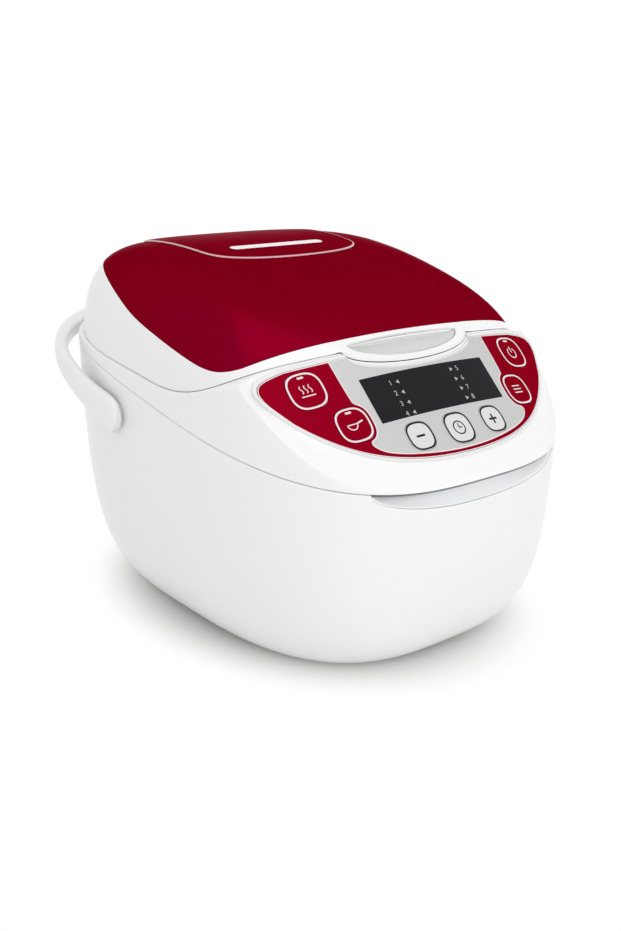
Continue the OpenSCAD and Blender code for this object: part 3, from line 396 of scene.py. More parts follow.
def plan_side(form: Form, half: int) -> list[Flat]:
    """Right half of the body's plan, denser at the front.

    Args:
        form: the shape laws.
        half: steps along it.

    Returns:
        The points from the front middle to the back middle.
    """
    fine_steps, front_x, front_step, rear_step = 4000, 112, 1.7, 3.6
    fine: list[Flat] = []
    for k in range(fine_steps + 1):
        a = -math.pi / 2 + math.pi * k / fine_steps
        x, y = math.cos(a), math.sin(a)
        r = ((abs(x) / form.body_a) ** form.body_n + (abs(y) / form.body_b) ** form.body_n) ** (-1 / form.body_n)
        fine.append((x * r, y * r))
    weight = [0.0]
    for p, q in zip(fine, fine[1:]):
        near = 1 / front_step if p[1] < 0 and p[0] < front_x else 1 / rear_step
        weight.append(weight[-1] + math.dist(p, q) * near)
    side: list[Flat] = []
    k = 0
    for j in range(half + 1):
        want = weight[-1] * j / half
        while k < len(weight) - 2 and weight[k + 1] < want:
            k += 1
        f = (want - weight[k]) / max(1e-9, weight[k + 1] - weight[k])
        side.append(between(fine[k], fine[k + 1], f))
    side[0], side[-1] = (0.0, -form.body_b), (0.0, form.body_b)
    return side


def body_rays(form: Form, half: int = 210) -> list[Ray]:
    """Columns for the body's rings, the same on both sides.

    Args:
        form: the shape laws.
        half: columns on one side.

    Returns:
        The columns, from the front middle over the right side and back.
    """
    side = plan_side(form, half)
    inlet_and_hinge = (14.9, 47.2, 48.4)
    for wanted in inlet_and_hinge:
        j = min(range(half), key=lambda i: abs(side[i][0] - wanted) + (0 if side[i][1] > 0 else 999))
        side[j] = (wanted, form.body_b * (1 - (wanted / form.body_a) ** form.body_n) ** (1 / form.body_n))
    rays = []
    for x, y in side + [(-x, y) for x, y in reversed(side[1:-1])]:
        far = math.hypot(x, y - form.lid_cy)
        way = (x / far, (y - form.lid_cy) / far)
        edge = form.reach(form.middle, way, form.lid_share)
        at_front = edge[1] < form.lid_cy - form.bump_from * form.lid_bf
        rim = (edge[0], edge[1] - form.bump(edge[0])) if at_front else edge
        seat = form.reach(form.middle, way, form.seat_share)
        rays.append(Ray(x / form.body_a, y / form.body_b, (x, y), way, edge, rim, seat))
    return rays


def widths_of(points: Sequence[Flat], half: float) -> tuple[list[Flat], list[Flat]]:
    """Borders of a stroke along a line.

    Args:
        points: the line.
        half: half of the stroke's width.

    Returns:
        The left and the right border.
    """
    left, right = [], []
    for k, p in enumerate(points):
        a, b = points[max(0, k - 1)], points[min(len(points) - 1, k + 1)]
        far = math.dist(a, b) or 1.0
        n = (-(b[1] - a[1]) / far, (b[0] - a[0]) / far)
        left.append(stepped(p, n, half))
        right.append(stepped(p, n, -half))
    return left, right


def rounded(points: Sequence[Flat], times: int = 2) -> list[Flat]:
    """Cuts the corners of a line again and again, which rounds it.

    Args:
        points: the line.
        times: how often.

    Returns:
        The rounded line.
    """
    line = list(points)
    for _ in range(times):
        cut = [between(a, b, f) for a, b in zip(line, line[1:]) for f in (0.25, 0.75)]
        line = [line[0]] + cut + [line[-1]]
    return line


class Mould:
    """A bmesh in millimetres that is grown with operators."""

    def __init__(self) -> None:
        """Starts empty, with a layer that keeps each vertex's number in its ring."""
        self.bm = bmesh.new()
        self.order = self.bm.verts.layers.int.new("order")

    @staticmethod
    def verts_in(geom: Sequence[object]) -> list[bmesh.types.BMVert]:
        """The vertices among an operator's results."""
        return [v for v in geom if isinstance(v, bmesh.types.BMVert)]

    def loop(self, points: Sequence[Point], closed: bool = True) -> Edges:
        """Lays the first ring of a form.

        Args:
            points: places along the ring.
            closed: False for an open line.

        Returns:
            The ring's edges.
        """
        if closed:
            verts = bmesh.ops.create_circle(self.bm, segments=len(points), radius=1.0)["verts"]
        else:
            verts = [self.bm.verts.new(p) for p in points]
            for a, b in zip(verts, verts[1:]):
                self.bm.edges.new((a, b))
        for k, (v, p) in enumerate(zip(verts, points)):
            v.co = p
            v[self.order] = k
        held = set(verts)
        return [e for e in self.bm.edges if e.verts[0] in held and e.verts[1] in held]

    def grow(self, edges: Sequence[bmesh.types.BMEdge], points: Sequence[Point]) -> Edges:
        """Extrudes a ring and sets the new one on its places.

        Args:
            edges: the ring to extrude.
            points: places of the new ring.

        Returns:
            The new ring's edges.
        """
        geom = bmesh.ops.extrude_edge_only(self.bm, edges=list(edges))["geom"]
        fresh = set(self.verts_in(geom))
        for v in fresh:
            v.co = points[v[self.order]]
        return [e for e in geom if isinstance(e, bmesh.types.BMEdge) and e.verts[0] in fresh and e.verts[1] in fresh]

    def close(self, edges: Sequence[bmesh.types.BMEdge], tip: Point) -> None:
        """Closes a ring to one point."""
        geom = bmesh.ops.extrude_edge_only(self.bm, edges=list(edges))["geom"]
        bmesh.ops.pointmerge(self.bm, verts=self.verts_in(geom), merge_co=tip)

    def loft(self, rings: Sequence[Sequence[Point]], wrap: bool = False, low: Optional[Point] = None,
             high: Optional[Point] = None) -> tuple[Edges, Edges]:
        """Grows a form through rings.

        Args:
            rings: the rings, each with the same number of points.
            wrap: True joins the last ring to the first.
            low: tip that closes the first ring.
            high: tip that closes the last ring.

        Returns:
            The edges of the first and of the last ring.
        """
        first = last = self.loop(rings[0])
        for ring in rings[1:]:
            last = self.grow(last, ring)
        if wrap:
            bmesh.ops.bridge_loops(self.bm, edges=first + last)
        if low is not None:
            self.close(first, low)
        if high is not None:
            self.close(last, high)
        return first, last

    def thicken(self, faces: Sequence[bmesh.types.BMFace], lift: Vector) -> None:
        """Gives flat faces a thickness."""
        geom = bmesh.ops.extrude_face_region(self.bm, geom=list(faces), use_keep_orig=True)["geom"]
        bmesh.ops.translate(self.bm, vec=lift, verts=self.verts_in(geom))

    def ribbon(self, left: Sequence[Point], right: Sequence[Point], lift: Vector) -> None:
        """Lays a thin strip between two lines and gives it a thickness.

        Args:
            left: one border.
            right: the other border.
            lift: direction and amount of the thickness.
        """
        before = set(self.bm.faces)
        self.grow(self.loop(left, closed=False), right)
        self.thicken([f for f in self.bm.faces if f not in before], lift)

    def stroke(self, line: Sequence[Flat], half: float, w: float, thick: float) -> None:
        """Lays a flat stroke along a line.

        Args:
            line: its middle line.
            half: half of its width.
            w: the height it lies at.
            thick: its thickness.
        """
        left, right = ([(x, v, w) for x, v in side] for side in widths_of(line, half))
        self.ribbon(left, right, Vector((0, 0, thick)))

    def plate(self, outline: Sequence[Point], lift: Vector) -> None:
        """Fills an outline and gives it a thickness."""
        self.thicken(bmesh.ops.contextual_create(self.bm, geom=self.loop(outline))["faces"], lift)

    def turn(self, matrix: Matrix) -> None:
        """Moves everything by a matrix."""
        bmesh.ops.transform(self.bm, matrix=matrix, verts=self.bm.verts)


class Look(Enum):
    """The cooker's finishes."""

    SHELL = "shell_white"
    GRIP = "grip_grey"
    BASE = "base_grey"
    FOOT = "foot_rubber"
    STEEL = "bright_steel"
    TRIM = "trim_pale"
    PANEL_RED = "panel_red"
    SILVER = "panel_silver"
    KEY_PALE = "key_pale"
    GLASS = "display_black"
    BOARD = "board_green"
    BOARD_TAN = "board_tan"
    BLACK = "black_plastic"
    GREY = "grey_plastic"
    BRASS = "contact_brass"
    CAST = "cast_aluminium"
    FUSE = "fuse_white"
    POT = "pot_coating"
    LID_RED = "lid_red"
    LID_WHITE = "lid_white"
    SILICONE = "silicone"
    DISH = "dish_silver"
    INK_WHITE = "ink_white"
    INK_BLACK = "ink_black"
    INK_GREY = "ink_grey"
    PAINTED_EDGE_HIGHLIGHT = "painted_edge_highlight"
    LED = "lamp_lens"


class Graph:
    """A node tree with short ways to add nodes and to join them."""

    def __init__(self, tree: bpy.types.NodeTree) -> None:
        """Takes the tree to work on."""
        self.tree = tree

    def put(self, socket: bpy.types.NodeSocket, value: object) -> None:
        """Links an input to an output, or sets its value.

        Args:
            socket: the input.
            value: an output, a number or a tuple.
        """
        if isinstance(value, bpy.types.NodeSocket):
            self.tree.links.new(value, socket)
        else:
            socket.default_value = value

    def add(self, kind: str, inputs: Optional[Mapping[object, object]] = None, **settings: object) -> bpy.types.Node:
        """Adds a node.

        Args:
            kind: its type.
            inputs: what goes into its inputs, by name or number.
            settings: its own properties.

        Returns:
            The node.
        """
        node = self.tree.nodes.new(kind)
        for name, value in settings.items():
            setattr(node, name, value)
        for key, value in (inputs or {}).items():
            self.put(node.inputs[key], value)
        return node

    def place(self) -> bpy.types.NodeSocket:
        """Adds the Object coordinates."""
        return self.add("ShaderNodeTexCoord").outputs["Object"]

    def noise(self, place: bpy.types.NodeSocket, scale: object, detail: float) -> bpy.types.NodeSocket:
        """Adds a noise texture and returns its factor."""
        return self.add("ShaderNodeTexNoise", {"Vector": place, "Scale": scale, "Detail": detail}).outputs["Fac"]

    def math(self, kind: str, a: object, b: object) -> bpy.types.NodeSocket:
        """Adds a math node and returns its output."""
        return self.add("ShaderNodeMath", {0: a, 1: b}, operation=kind).outputs[0]

    def blend(self, factor: bpy.types.NodeSocket, a: object, b: object) -> bpy.types.NodeSocket:
        """Adds a colour mix node and returns its output."""
        return self.add("ShaderNodeMix", {0: factor, 6: a, 7: b}, data_type="RGBA").outputs[2]

    def pick(self, factor: bpy.types.NodeSocket, a: object, b: object) -> bpy.types.NodeSocket:
        """Adds a shader mix node and returns its output."""
        return self.add("ShaderNodeMixShader", {0: factor, 1: a, 2: b}).outputs[0]

    def seen(self) -> bpy.types.NodeSocket:
        """Adds the test for camera, glossy and transmission rays.

        Returns:
            The test's output.
        """
        path = self.add("ShaderNodeLightPath").outputs
        first = self.math("MAXIMUM", path["Is Camera Ray"], path["Is Glossy Ray"])
        return self.math("MAXIMUM", first, path["Is Transmission Ray"])


class Groups:
    """Shader node groups that the finishes share, each built once, with outputs for colour, roughness and height."""

    def __init__(self) -> None:
        """Builds the groups."""
        self.moulded = self.make_moulded()
        self.flake = self.make_flake()
        self.brushed = self.make_brushed()

    @staticmethod
    def start(name: str, colours: Sequence[str], numbers: Sequence[str]) -> tuple[Graph, Mapping[str, object]]:
        """Makes a group with its sockets.

        Args:
            name: the group's name.
            colours: names of its colour inputs.
            numbers: names of its number inputs.

        Returns:
            The group's graph, and its inputs by name.
        """
        graph = Graph(bpy.data.node_groups.new(name, "ShaderNodeTree"))
        colour, number = "NodeSocketColor", "NodeSocketFloat"
        sockets = [(label, "INPUT", colour) for label in colours] + [(label, "INPUT", number) for label in numbers]
        sockets += [("Colour", "OUTPUT", colour), ("Roughness", "OUTPUT", number), ("Height", "OUTPUT", number)]
        for label, way, kind in sockets:
            graph.tree.interface.new_socket(label, in_out=way, socket_type=kind)
        return graph, graph.add("NodeGroupInput").outputs

    @staticmethod
    def finish(graph: Graph, colour: object, rough: object, wave: object, spread: object,
               height: object) -> bpy.types.NodeTree:
        """Joins what a group makes to its outputs.

        Args:
            graph: the group's graph.
            colour: the finished colour.
            rough: the middle roughness.
            wave: what makes the roughness swing, about 0.5.
            spread: how far it swings.
            height: the height for a bump.

        Returns:
            The group.
        """
        swing = graph.math("MULTIPLY", graph.math("SUBTRACT", wave, 0.5), spread)
        graph.add("NodeGroupOutput", {"Colour": colour, "Roughness": graph.math("ADD", rough, swing), "Height": height})
        return graph.tree

    def make_moulded(self) -> bpy.types.NodeTree:
        """Moulded plastic: faint flow tint, uneven gloss and a fine peel.

        Returns:
            The group.
        """
        graph, given = self.start("moulded_surface", ("Colour", "Shade"), ("Roughness", "Spread", "Peel"))
        place = graph.place()
        flow, gloss = graph.noise(place, 14.0, 3.0), graph.noise(place, 60.0, 5.0)
        peel = graph.noise(place, given["Peel"], 2.0)
        colour = graph.blend(flow, given["Colour"], given["Shade"])
        return self.finish(graph, colour, given["Roughness"], gloss, given["Spread"], peel)

    def make_flake(self) -> bpy.types.NodeTree:
        """Pearl film: small bright flakes over a soft cloud.

        Returns:
            The group.
        """
        graph, given = self.start("pearl_flake", ("Colour", "Bright"), ("Scale", "Roughness"))
        place = graph.place()
        cells = graph.add("ShaderNodeTexVoronoi", {"Vector": place, "Scale": given["Scale"]}).outputs["Color"]
        flake = graph.add("ShaderNodeSeparateColor", {0: cells}).outputs
        cloud = graph.math("ADD", graph.noise(place, 22.0, 2.0), 0.25)
        amount = graph.math("MULTIPLY", graph.math("POWER", flake[0], 2.0), cloud)
        colour = graph.blend(amount, given["Colour"], given["Bright"])
        return self.finish(graph, colour, given["Roughness"], flake[1], 0.16, flake[2])

    def make_brushed(self) -> bpy.types.NodeTree:
        """Worked metal: fine drawn lines and a cloudy gloss.

        Returns:
            The group.
        """
        graph, given = self.start("worked_metal", ("Colour", "Shade"), ("Roughness", "Spread"))
        place = graph.place()
        drawn = graph.add("ShaderNodeMapping", {"Vector": place, "Scale": (60.0, 1400.0, 1400.0)}).outputs[0]
        lines = graph.noise(drawn, 1.0, 2.0)
        colour = graph.blend(graph.noise(place, 35.0, 4.0), given["Colour"], given["Shade"])
        return self.finish(graph, colour, given["Roughness"], lines, given["Spread"], lines)


@dataclass(frozen=True)
class Finish:
    """What all finishes share: a Principled shader fed by one of the groups."""

    colour: Colour
    second: Colour
    rough: float = 0.25
    bump: float = 0.05
    depth_mm: float = 0.05
    specular: float = 0.5
    metallic: float = 0.0
    coat: float = 0.0
    coat_rough: float = 0.05
    edge: Colour = (1.0, 1.0, 1.0)

    def group(self, groups: Groups) -> bpy.types.NodeTree:
        """The group that drives this finish."""
        raise NotImplementedError

    def feed(self) -> dict[str, object]:
        """Values for the group's own inputs."""
        raise NotImplementedError

    def make(self, name: str, groups: Groups) -> bpy.types.Material:
        """Builds the material.

        Args:
            name: the material's name.
            groups: the shared node groups.

        Returns:
            The material.
        """
        mat = bpy.data.materials.new(name)
        mat.use_nodes = True
        graph = Graph(mat.node_tree)
        given = {"Roughness": self.rough, "Colour": (*self.colour, 1), **self.feed()}
        surface = graph.add("ShaderNodeGroup", given, node_tree=self.group(groups)).outputs
        bump = graph.add("ShaderNodeBump", {"Strength": self.bump, "Distance": self.depth_mm / 1000,
                                            "Height": surface["Height"]})
        shader = mat.node_tree.nodes["Principled BSDF"]
        for key, value in {"Base Color": surface["Colour"], "Roughness": surface["Roughness"],
                           "Normal": bump.outputs["Normal"], "Specular IOR Level": self.specular,
                           "Specular Tint": (*self.edge, 1), "Metallic": self.metallic, "Coat Weight": self.coat,
                           "Coat Roughness": self.coat_rough}.items():
            graph.put(shader.inputs[key], value)
        mat.diffuse_color = (*self.colour, 1)
        return mat


@dataclass(frozen=True)
class Plastic(Finish):
    """Moulded plastic, rubber or ink."""

    spread: float = 0.06
    peel: float = 900.0

    def group(self, groups: Groups) -> bpy.types.NodeTree:
        """The moulded surface."""
        return groups.moulded

    def feed(self) -> dict[str, object]:
        """Shade, spread and peel."""
        return {"Shade": (*self.second, 1), "Spread": self.spread, "Peel": self.peel}


@dataclass(frozen=True)
class Pearl(Finish):
    """Pearl film or lacquer."""

    scale: float = 2600.0

    def group(self, groups: Groups) -> bpy.types.NodeTree:
        """The pearl flakes."""
        return groups.flake

    def feed(self) -> dict[str, object]:
        """The bright flake and its scale."""
        return {"Bright": (*self.second, 1), "Scale": self.scale}


@dataclass(frozen=True)
class Metal(Finish):
    """Worked metal."""

    metallic: float = 1.0
    spread: float = 0.15

    def group(self, groups: Groups) -> bpy.types.NodeTree:
        """The worked metal."""
        return groups.brushed

    def feed(self) -> dict[str, object]:
        """Shade and spread."""
        return {"Shade": (*self.second, 1), "Spread": self.spread}


WHITE_GLOSS = Plastic((0.87, 0.875, 0.87), (0.855, 0.86, 0.855), 0.2, 0.03, specular=0.4)
RED_EDGE: Colour = (0.5, 0.02, 0.06)
INK_PEEL = 2400.0

FINISHES: dict[Look, Finish] = {
    Look.SHELL: WHITE_GLOSS,
    # The cup's colour is a touch lighter than the shell's white: painted light that offsets the shade in the deep cup.
    Look.GRIP: Plastic((0.89, 0.9, 0.91), (0.87, 0.88, 0.89), 0.3, 0.04, specular=0.4),
    Look.BASE: Plastic((0.55, 0.55, 0.55), (0.5, 0.5, 0.5), 0.45, 0.12),
    Look.FOOT: Plastic((0.06, 0.06, 0.062), (0.045, 0.045, 0.047), 0.75, 0.25, specular=0.3, peel=1800.0),
    Look.STEEL: Metal((0.72, 0.72, 0.73), (0.64, 0.64, 0.65), 0.26, 0.04),
    Look.TRIM: Pearl((0.74, 0.745, 0.75), (0.8, 0.8, 0.8), 0.3, 0.02),
    Look.PANEL_RED: Pearl((0.25, 0.0005, 0.012), (0.27, 0.001, 0.014), 0.3, 0.01, specular=0.0, metallic=0.3,
                          edge=RED_EDGE),
    Look.SILVER: Pearl((0.53, 0.535, 0.53), (0.57, 0.575, 0.57), 0.36, 0.01, metallic=0.25, specular=0.3),
    Look.KEY_PALE: Pearl((0.66, 0.665, 0.66), (0.7, 0.705, 0.7), 0.34, 0.01, specular=0.35),
    Look.GLASS: Plastic((0.016, 0.016, 0.018), (0.019, 0.019, 0.021), 0.2, 0.01, specular=0.03),
    Look.BOARD: Plastic((0.03, 0.16, 0.06), (0.02, 0.12, 0.045), 0.45, 0.1),
    Look.BOARD_TAN: Plastic((0.45, 0.3, 0.14), (0.38, 0.25, 0.11), 0.5, 0.1),
    Look.BLACK: Plastic((0.02, 0.02, 0.021), (0.03, 0.03, 0.031), 0.4, 0.1),
    Look.GREY: Plastic((0.3, 0.3, 0.31), (0.26, 0.26, 0.27), 0.4, 0.08),
    Look.BRASS: Metal((0.7, 0.55, 0.28), (0.6, 0.46, 0.22), 0.3, 0.05),
    Look.CAST: Metal((0.55, 0.55, 0.56), (0.46, 0.46, 0.47), 0.45, 0.12),
    Look.FUSE: Plastic((0.75, 0.73, 0.68), (0.7, 0.68, 0.62), 0.5, 0.1),
    Look.POT: Plastic((0.05, 0.05, 0.052), (0.085, 0.085, 0.088), 0.42, 0.2, specular=0.45, peel=2600.0),
    Look.LID_RED: Plastic((0.22, 0.0002, 0.0155), (0.204, 0.0002, 0.0145), 0.28, 0.02, specular=0.0, metallic=0.45,
                          edge=RED_EDGE),
    Look.LID_WHITE: WHITE_GLOSS,
    Look.SILICONE: Plastic((0.6, 0.6, 0.58), (0.54, 0.54, 0.52), 0.55, 0.08, specular=0.4),
    Look.DISH: Plastic((0.66, 0.67, 0.66), (0.62, 0.63, 0.62), 0.3, 0.01, metallic=0.55, specular=0.4),
    Look.INK_WHITE: Plastic((0.8, 0.74, 0.75), (0.76, 0.7, 0.71), 0.4, 0.05, specular=0.2, peel=INK_PEEL),
    Look.INK_BLACK: Plastic((0.008, 0.008, 0.009), (0.011, 0.011, 0.012), 0.5, 0.05, specular=0.1, peel=INK_PEEL),
    Look.INK_GREY: Plastic((0.42, 0.43, 0.44), (0.38, 0.39, 0.4), 0.45, 0.05, peel=INK_PEEL),
    # Pale pink paint for the painted highlight on the steam cap's edge.
    Look.PAINTED_EDGE_HIGHLIGHT: Plastic((0.68, 0.42, 0.45), (0.62, 0.36, 0.39), 0.25, 0.03),
    Look.LED: Plastic((0.75, 0.68, 0.66), (0.7, 0.62, 0.6), 0.2, 0.03, coat=0.5),
}

NODE_LOOKS: dict[Look, Sequence[str]] = {
    Look.BASE: ("base_plate",),
    Look.FOOT: ("feet",),
    Look.STEEL: ("base_screws", "board_screws", "inner_liner", "heater_terminals", "sensor_cap", "sensor_bracket",
                 "power_screws", "hinge_pin", "latch_catch", "lid_screws", "inner_lid", "latch_pin", "handle_clips",
                 "hinge_spring", "button_springs", "sensor_spring"),
    Look.PANEL_RED: ("panel_fascia", "keep_warm_key", "fry_key", "menu_key", "power_key"),
    Look.SILVER: ("panel_insert",),
    Look.KEY_PALE: ("minus_key", "timer_key", "plus_key"),
    Look.TRIM: ("panel_trim",),
    Look.GLASS: ("display_window",),
    Look.BLACK: ("display_module", "key_switches", "power_parts", "inlet_socket"),
    Look.BOARD: ("control_board",),
    Look.BOARD_TAN: ("power_board",),
    Look.BRASS: ("inlet_pins",),
    Look.CAST: ("heating_plate", "heater_ring", "heater_supports"),
    Look.FUSE: ("thermal_fuse",),
    Look.POT: ("cooking_pot",),
    Look.GREY: ("hinge_lugs", "lid_hinge", "inner_knob", "steam_seat", "latch_bracket", "latch_hook"),
    Look.LID_WHITE: ("lid_shell", "lid_tray", "steam_pipe", "button_surround"),
    Look.LID_RED: ("lid_cover", "steam_cap"),
    Look.SILICONE: ("inner_gasket", "pipe_seal"),
    Look.SHELL: ("outer_shell", "top_collar", "handle"),
    Look.GRIP: ("grip_cup",),
    Look.DISH: ("release_button",),
}


class FinishBook:
    """Materials by look, each made once."""

    def __init__(self) -> None:
        """Builds every material."""
        groups = Groups()
        self.materials = {look: finish.make(look.value, groups) for look, finish in FINISHES.items()}

    def paint(self, obj: bpy.types.Object, look: Look) -> None:
        """Gives an object one finish."""
        obj.data.materials.clear()
        obj.data.materials.append(self.materials[look])


@dataclass
class SubAssembly:
    """A group of pieces that are built and dressed together."""

    form: Form
    book: FinishBook
    made: list[tuple[bpy.types.Object, Look]] = field(default_factory=list)

    def ride(self, mesh: bpy.types.Mesh, body: str, look: Look, nodes: Sequence[str], slot: str,
             sharp: float) -> bpy.types.Object:
        """Shades a mesh, sets it down and lets it ride on its body.

        Args:
            mesh: the mesh, which has the piece's name.
            body: the body it rides on.
            look: its finish.
            nodes: CAD nodes that it stands for.
            slot: the record's material slot; not used.
            sharp: angle in degrees past which an edge stays sharp.

        Returns:
            The piece.
        """
        mesh.shade_smooth()
        mesh.set_sharp_from_angle(angle=math.radians(sharp))
        obj = set_down(mesh.name, mesh)
        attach(obj, body)
        if nodes:
            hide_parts(*nodes)
        self.made.append((obj, look))
        return obj

    def keep(self, mould: Mould, name: str, body: str, look: Look, nodes: Sequence[str] = (), slot: str = "",
             sharp: float = 35.0) -> bpy.types.Object:
        """Turns a finished form in body millimetres into a piece.

        Args:
            mould: the form.
            name: the piece's name.
            body: the body it rides on.
            look: its finish.
            nodes: CAD nodes that it stands for.
            slot: the record's material slot.
            sharp: angle in degrees past which an edge stays sharp.

        Returns:
            The piece.
        """
        mould.turn(self.form.to_row())
        bmesh.ops.recalc_face_normals(mould.bm, faces=mould.bm.faces)
        mesh = bpy.data.meshes.new(name)
        mould.bm.to_mesh(mesh)
        mould.bm.free()
        return self.ride(mesh, body, look, nodes, slot, sharp)

    def build(self) -> None:
        """Makes the pieces."""
        raise NotImplementedError

    def dress(self) -> None:
        """Gives each piece its finish."""
        for obj, look in self.made:
            self.book.paint(obj, look)


@dataclass
class Body(SubAssembly):
    """Outer shell, finger cup and collar, which is sunk under the panel's outline."""

    rays: list[Ray] = field(default_factory=list)
    outline: list[Flat] = field(default_factory=list)
    grip_a: float = 84.0
    grip_h: float = 14.6
    grip_up: float = 1.6
    play: float = 0.4
    inlet_x: float = 15.2
    inlet_low: float = 67
    inlet_high: float = 93
    cup_drop: float = 1.4
    top_blend: float = 3.0
    corner_r: float = 6.0
    corner_steps: int = 6
    deck_steps: int = 44
    sink: float = 7.5
    sink_from: float = 2.2
    sink_run: float = 1.5
    well_in: float = 7

    @property
    def grip_z(self) -> float:
        """Height of the finger opening's middle line."""
        return self.form.seam(-self.form.body_b) + self.grip_up

    def shell_top(self, ray: Ray) -> float:
        """Top edge of the shell, lower along the finger opening.

        Args:
            ray: the column.

        Returns:
            The height of the edge.
        """
        x, y = ray.plan
        top = self.form.seam(y)
        if y < 0 and abs(x) < self.grip_a:
            top = min(top, self.grip_z - self.grip_h * math.sqrt(1 - (x / self.grip_a) ** 2))
        return top

    def shell_ring(self, g: float, more: float = 0, lift: float = 0) -> list[Point]:
        """Ring of the shell.

        Args:
            g: share of the way from the top edge to the floor.
            more: how far it is drawn in.
            lift: how far it is raised.

        Returns:
            The ring.
        """
        form, ring = self.form, []
        for ray in self.rays:
            whole = form.seam(ray.plan[1]) - form.floor_z
            u = mix(1 - (self.shell_top(ray) - form.floor_z) / whole, 1.0, g)
            x, y = form.plan(ray.c, ray.s, form.inset(u) + more)
            ring.append((x, y, form.floor_z + whole * (1 - u) + lift))
        return ring

    def build_shell(self) -> None:
        """Lofts the shell through its rings and opens it for the inlet."""
        form, mould = self.form, Mould()
        inlet = (0.6396, 0.5188)
        outer = (1, 0.992, 0.984, 0.976, 0.966, 0.955, 0.942, 0.928, 0.912, 0.894, 0.872, 0.846, 0.815, 0.78, 0.74,
                 0.69, *inlet, 0.45, 0.38, 0.31, 0.24, 0.17, 0.11, 0.06, 0.025)
        inner = (0.06, 0.17, 0.31, 0.45, *reversed(inlet), 0.74, 0.85, 0.93, 0.985)
        lip = ((0, -0.7), (0.12, -0.25), (0.5, 0), (form.wall - 0.5, 0), (form.wall, -0.5))
        rings = [self.shell_ring(1, form.flange)] + [self.shell_ring(g) for g in outer]
        rings += [self.shell_ring(0, more, lift) for more, lift in lip]
        rings += [self.shell_ring(g, form.wall, form.wall * g ** 4) for g in inner]
        rings += [self.shell_ring(1, 1.5, form.wall), self.shell_ring(1, form.flange, form.wall)]
        mould.loft(rings, wrap=True)
        doomed = [f for f in mould.bm.faces if f.calc_center_median().y > 100
                  and all(abs(v.co.x) < self.inlet_x and self.inlet_low < v.co.z < self.inlet_high for v in f.verts)]
        bmesh.ops.delete(mould.bm, geom=doomed, context="FACES")
        bmesh.ops.bridge_loops(mould.bm, edges=[e for e in mould.bm.edges if e.is_boundary])
        self.keep(mould, "shell_wall", "base", Look.SHELL, ["outer_shell"], "white_shell", 50)

    def cup_ring(self, k: float, d: float, grow: float = 0.0, low: float = 0.0, count: int = 128) -> list[Point]:
        """Ring of the finger cup.

        Args:
            k: share of the opening's width.
            d: depth behind the wall.
            grow: how much wider the opening is drawn.
            low: share of the opening's lower half, where it is not k.
            count: points of the ring.

        Returns:
            The ring.
        """
        form, ring = self.form, []
        for t in circle_of(count):
            x = (self.grip_a - self.play + grow) * k * math.cos(t)
            top = form.seam(form.wall_y(x, 0)) - self.cup_drop
            if math.sin(t) < 0:
                z = min(top, self.grip_z + (self.grip_h - self.play + grow) * (low or k) * math.sin(t))
            else:
                z = top + (self.play + grow) * math.sin(t)
            ring.append((x, form.wall_y(self.grip_a * math.cos(t), 1) + d, z))
        return ring

    def build_cup(self) -> None:
        """Lofts the finger cup with a rolled lip."""
        form, mould = self.form, Mould()
        back = ((0.8, 18.6), (0.9, 15.5), (0.97, 11.9), (0.99, 6), (1, 0.6), (0.995, 0.25), (0.98, 0.15))
        face = ((0.968, 0.3, -0.1, 0.965), (0.96, 1, -0.2, 0.945), (0.95, 2.2, -0.4, 0.91), (0.935, 3.6, -0.6, 0.86),
                (0.915, 5.2, -0.8, 0.79), (0.89, 6.9, -1, 0.7), (0.86, 8.4, -1.1, 0.61), (0.82, 9.6, -1.2, 0.53),
                (0.77, 10.5, -1.3, 0.47), (0.69, 11.1, -1.35, 0.43), (0.4, 11.4, -1.4, 0.41))
        mid = form.seam(-form.body_b) - 5
        mould.loft([self.cup_ring(*step) for step in back + face],
                   low=(0, -form.body_b + 19.6, mid), high=(0, -form.body_b + 12.6, mid + 2))
        self.keep(mould, "finger_cup", "base", Look.GRIP, ["grip_cup"], "grip_grey")

    def top(self, ray: Ray, x: float, y: float) -> float:
        """Height of the collar's top."""
        return soft_min(self.form.deck(x, y), self.form.parting(ray.edge[1]), self.top_blend)

    def panel_depth(self, p: Point) -> float:
        """How far a point lies inside the panel's outline.

        Args:
            p: the point.

        Returns:
            The distance to the outline, negative outside it.
        """
        v = ((p[1] - self.form.panel_y) + (p[2] - self.form.panel_z)) * SLOPE
        inside, best = False, 1e9
        for a, b in zip(self.outline, self.outline[1:] + self.outline[:1]):
            dx, dy = b[0] - a[0], b[1] - a[1]
            if (a[1] > v) != (b[1] > v) and p[0] < dx * (v - a[1]) / dy + a[0]:
                inside = not inside
            f = min(1.0, max(0.0, ((p[0] - a[0]) * dx + (v - a[1]) * dy) / (dx * dx + dy * dy or 1.0)))
            best = min(best, math.hypot(p[0] - a[0] - f * dx, v - a[1] - f * dy))
        return best if inside else -best

